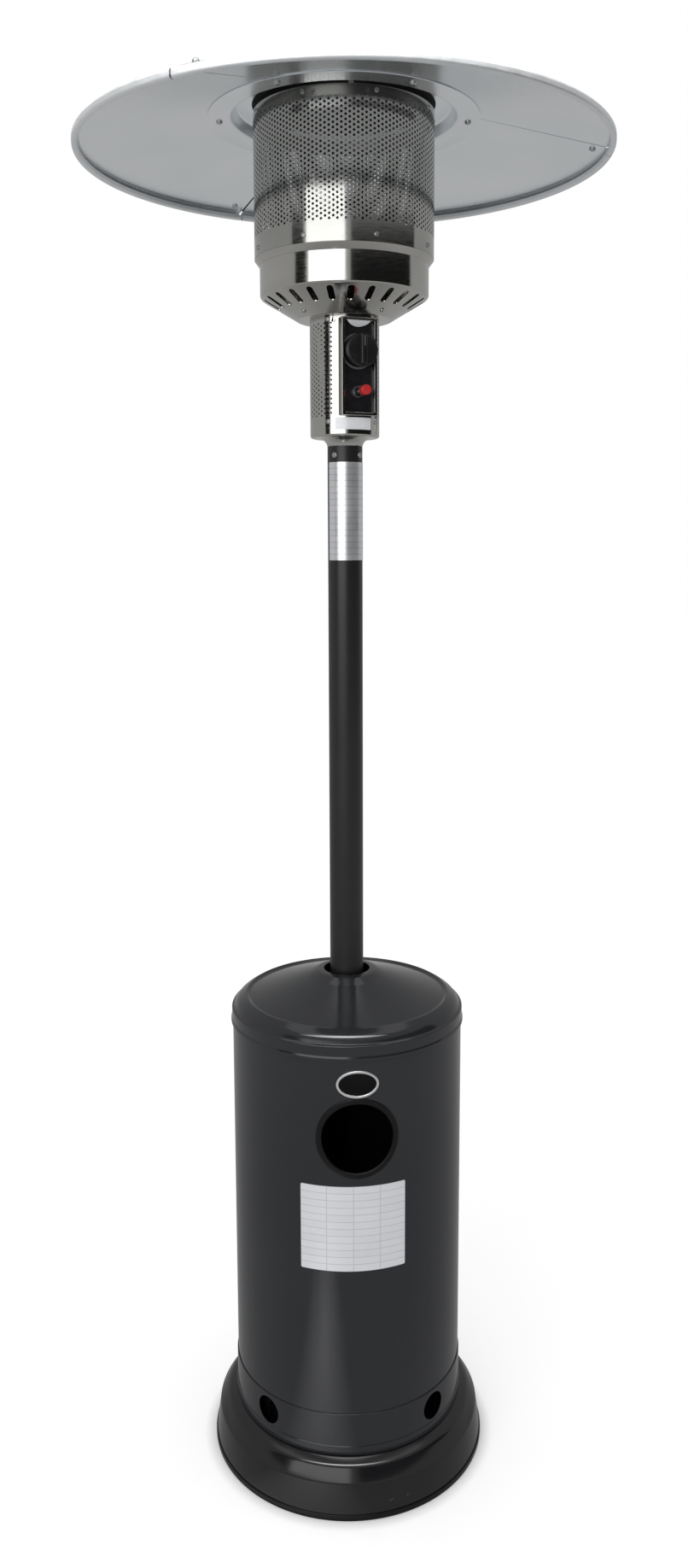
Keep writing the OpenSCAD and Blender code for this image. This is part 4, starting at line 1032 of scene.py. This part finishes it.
# %% Igniter button
igniter_z, button_back, button_len, button_r = 1755.8, 72.5, 15, 7.5
button = rod(button_r, button_len, raised(button_back + button_len / 2), 64)
button.name = "igniter_button_cap"
button_front = button_back + button_len
pick(button, "EDGE", lambda a, b: min(a.z, b.z) > button_front - 0.1
     or max(a.z, b.z) < button_back + 0.1)
bpy.ops.mesh.bevel(offset=1.6 * MM, segments=5)
leave()
pick(button, "FACE", lambda place, normal: normal.z > 0.99 and place.z > button_front - 0.1)
bpy.ops.mesh.inset(thickness=0.8 * MM)
bpy.ops.mesh.inset(thickness=2.4 * MM, depth=-0.7 * MM)
leave()
set_down(button, facing(box_turn, igniter_z))
fit(button, "igniter_button", "button_red", "igniter_cap")

# %% [markdown]
# ## Burner bowl
# The bowl under the screen is spun from bright steel: a flat floor on the control box, a cone and
# an upright wall. A ring of slots in the cone lets air in to the burner. One cutter with round ends
# is modelled and copied round.

# %% Burner bowl
cone_in, cone_out, cone_rise, bowl_top = 73, 130, 34, 1946.8
bowl_line = [(20, box_top), (cone_in, box_top, 4), (cone_out, box_top + cone_rise, 5),
             (cone_out, bowl_top)]
bowl = spin(draw_line("burner_bowl", bowl_line))
thicken(bowl, sheet)
slot_tool = block(27, 10, 40, Matrix.Identity(4))
pick(slot_tool, "EDGE", lambda a, b: abs(a.z - b.z) > 1)
bpy.ops.mesh.bevel(offset=4.9 * MM, segments=6)
leave()
slot_r, slot_z, slot_count = 110.5, 1890, 24
slot_places = []
for i in range(slot_count):
    turn = Matrix.Rotation(math.radians(-90 + 360 / slot_count * i), 4, "Z")
    slot_places.append(turn @ Matrix.Translation((slot_r * MM, 0, slot_z * MM)))
cut(bowl, copies("slots", slot_tool, slot_places))
fit(bowl, "heater", "bright_steel", "burner_cup")

# %% [markdown]
# ## Screen foot
# A sloping ring carries the screen, which is a little wider than the bowl. Its inner collar goes up
# inside.

# %% Screen foot
foot_line = [(128.9, 1946.9), (130.1, 1946.9, 0.5), (137.5, 1956.7, 0.8), (136.3, 1957.4), (136.3, 1972)]
foot = spin(draw_line("screen_foot", foot_line))
thicken(foot, 1.0)
fit(foot, "heater", "bright_steel", "screen_base_ring")

# %% [markdown]
# ## Emitter screen
# The flame heats this drum of punched steel until it glows. It is the punched sheet again, made as
# one half and copied for the other, so that each piece stays light; the ragged ends of the halves
# fit into each other.

# %% Emitter screen
screen_r, screen_z, screen_top, field_mid = 137.7, 1956.8, 2168.8, 2070
half_round = math.pi * screen_r
half = punched_sheet("screen_front", 7, 4.0, 72, 24, half_round,
                     screen_z - field_mid, screen_top - field_mid)
other = half.copy()
other.data = half.data.copy()
other.name = "screen_back"
bpy.context.scene.collection.objects.link(other)
for piece, turn in ((half, 0), (other, 180)):
    wrap(piece, screen_r, turn, field_mid)
    thicken(piece, 0.9, even=False)
fit(half, "heater", "screen_steel", "emitter_screen")
fit(other, "heater", "screen_steel")
# the inner faces get soot and painted shade in one dark tone
for piece in (half, other):
    touch(piece, "soot_and_painted_shade", inwards)

# %% [markdown]
# ## Screws
# Sheet-metal screws with a low round head and a cross recess hold the drum, bowl and screen. One
# head is modelled: a short cylinder, its edge rounded over, and two thin blocks cut the cross.
# Copies of it go to all the places.

# %% A screw head
def screw_head(radius, height):
    head = rod(radius, height, raised(height / 2), 24)
    pick(head, "EDGE", lambda a, b: min(a.z, b.z) > height - 0.01)
    bpy.ops.mesh.bevel(offset=height * 0.6 * MM, segments=4)
    leave()
    for turn in (0, 90):
        deep = Matrix.Rotation(math.radians(turn), 4, "Z") @ raised(height)
        cut(head, block(radius * 1.1, radius * 0.28, height * 1.1, deep))
    return head


# %% Screws round the walls
def screws(name, radius, places, stands_for):
    made = copies(name, screw_head(radius, 2), places)
    fit(made, "heater", "zinc_steel", stands_for, smooth=50)


screws("screen_screw_heads", 3.4,
       [facing(15 + 45 * i, z, screen_r) for i in range(8) for z in (1967.2, 2161.8)], "screen_screws")
screws("box_screw_heads", 3.4,
       [facing(-33 + 90 * i, z, box_r) for i in range(4) for z in (1711.8, 1863.3)], "box_screws")
screws("post_screw_heads", 4.5, [facing(-40 + 90 * i, 1663.4, post_r) for i in range(4)], "post_screws")
slope = cone_rise / (cone_out - cone_in)
dish_r = 83
tilt = Matrix.Rotation(math.pi / 2 - math.atan(slope), 4, "X")
dish_places = []
for turn in (-52, 38, 128, 218):
    dish_places.append(facing(turn, box_top + (dish_r - cone_in) * slope, dish_r) @ tilt)
screws("bowl_screw_heads", 3.4, dish_places, "dish_screws")

# %% [markdown]
# ## Hub
# The hub is a pressed aluminium disc that carries the three panels on its flange. Its step is the
# raised middle that shows from below as a ring round the screen. Over the screen its underside is
# painted dark, for the flame's soot and for the shade inside the raised middle, so the disc has an
# edge there for the two tones to meet at.

# %% Hub
# radius of the dark underside, painted for soot and shade
soot_and_shade_r = 139
hub_line = [(206, 2161), (171, 2161, 5), (165, 2183, 6), (soot_and_shade_r, 2183), (0, 2183)]
hub = spin(draw_line("hub_disc", hub_line))
thicken(hub, sheet, up)
fit(hub, "heater", "reflector_aluminium", "reflector_hub")
# the underside over the screen is painted dark: soot and painted shade
touch(hub, "soot_and_painted_shade", lambda place, normal: normal.z < -0.4 and math.hypot(place.x, place.y) < soot_and_shade_r + 1)

# %% [markdown]
# ## Dome nuts
# Twelve dome nuts hold the reflector together, and they are the only fasteners that show from
# above. A nut is a six-sided prism with its upper corners turned off, and half a ball on it.

# %% Dome nuts
nut_r, nut_h, dome_r = 5.76, 4.8, 4.8
nut = rod(nut_r, nut_h, raised(nut_h / 2), 6)
soften(nut, 0.4)
dome = add(bpy.ops.mesh.primitive_uv_sphere_add, segments=32, ring_count=16, radius=dome_r * MM)
set_down(dome, raised(nut_h))
all_of(dome)
bpy.ops.mesh.bisect(plane_co=(0, 0, (nut_h - 0.2) * MM), plane_no=(0, 0, 1),
                    clear_inner=True, use_fill=True)
leave()
nut = joined("nut_model", [nut, dome])
nut_points = [point.co / MM for point in frame["nodes"]["dome_nuts"].data.vertices]
panel_rise, panel_run = 45, 196.5
seam_tilt = math.degrees(math.atan2(panel_rise, panel_run))
nut_lift = 1.2


def on_reflector(angle, radius, tilt=0.0):
    """The seat of a nut: the lowest point of the solid nut that stands there, and the panel's slope."""
    x, y = radius * math.cos(math.radians(angle)), radius * math.sin(math.radians(angle))
    seat = min(point.z for point in nut_points if math.hypot(point.x - x, point.y - y) < 8)
    seat += nut_lift * math.sin(math.radians(tilt))
    lean = Matrix.Rotation(math.radians(angle), 4, "Z") @ Matrix.Rotation(math.radians(tilt), 4, "Y")
    return Matrix.Translation((x * MM, y * MM, seat * MM)) @ lean


nut_places = [on_reflector(30 + 120 * i, 122.8) for i in range(3)]
nut_places += [on_reflector(-4 + 60 * i, 188.5) for i in range(6)]
nut_places += [on_reflector(-4 + 120 * i, 379.5, seam_tilt) for i in range(3)]
nuts = copies("reflector_nuts", nut, nut_places)
fit(nuts, "heater", "zinc_steel", "dome_nuts")

# %% [markdown]
# ## Reflector panels
# Three aluminium panels make the wide shallow cone. Each has a rolled rim, which stiffens it, and
# one straight edge steps up and laps over the next panel. The outline with its roll is spun through
# a third of a turn; the end edge is then spun on by a hair and lifted for the step, and spun on
# again for the lap. The lap has no roll of its own, so its outer faces are taken away. The roll is
# brushed brighter by handling, and from below each step is painted darker as the shade in the lap,
# darkest on the first panel, which gets the tone of soot and painted shade.

# %% One panel
panel_line = [(397, 2112.5), (397, 2104.4, 4.3), (406.2, 2104.4, 4.3), (406.2, 2116.4, 4.3),
              (395.5, 2119), (207, 2162.2, 10), (175, 2162.2)]
panel_sweep, step_sweep, lap_sweep, lap_lift = 119.5, 0.35, 6.2, 1.9
roll_in, seam_sweep = 396, 1.6


def reflector_panel(name, angle, stands_for, seam):
    """A panel that starts at an angle from +X and runs anticlockwise seen from above."""
    piece = spin(draw_line(name, panel_line, angle + 90), panel_sweep, 80)

    def past(place, sweep):
        """Whether a point lies further round than a sweep from the panel's start."""
        round_by = (math.degrees(math.atan2(place.y, place.x)) - angle) % 360
        return sweep - 0.05 < round_by < 180

    def at_seam(place, normal):
        return normal.z < 0.2 and past(place, panel_sweep) and not past(place, panel_sweep + seam_sweep)

    pick(piece, "VERT", lambda p: past(p, panel_sweep))
    bpy.ops.mesh.spin(steps=1, angle=math.radians(step_sweep), center=(0, 0, 0), axis=(0, 0, -1))
    bpy.ops.transform.translate(value=(0, 0, lap_lift * MM))
    bpy.ops.mesh.spin(steps=5, angle=math.radians(lap_sweep), center=(0, 0, 0), axis=(0, 0, -1))
    leave()
    pick(piece, "FACE", lambda p, normal: past(p, panel_sweep + 0.1)
         and math.hypot(p.x, p.y) > roll_in - 0.4)
    bpy.ops.mesh.delete(type="FACE")
    leave()
    all_of(piece)
    bpy.ops.mesh.normals_make_consistent(inside=False)
    leave()
    thicken(piece, 1.0, up)
    fit(piece, "heater", "reflector_aluminium", stands_for)
    touch(piece, "rolled_edge", lambda p, normal: math.hypot(p.x, p.y) > roll_in + 0.5)
    # the step faces are painted darker: painted shade in the lap
    touch(piece, seam, at_seam)


# painted shade on the steps, darkest at the first panel's seam
first_seam = -6.85
for i, seam in enumerate(("soot_and_painted_shade", "lap_shade", "lap_shade")):
    reflector_panel(f"panel_{i + 1}", first_seam + 120 * i, f"reflector_panel_{i + 1}", seam)
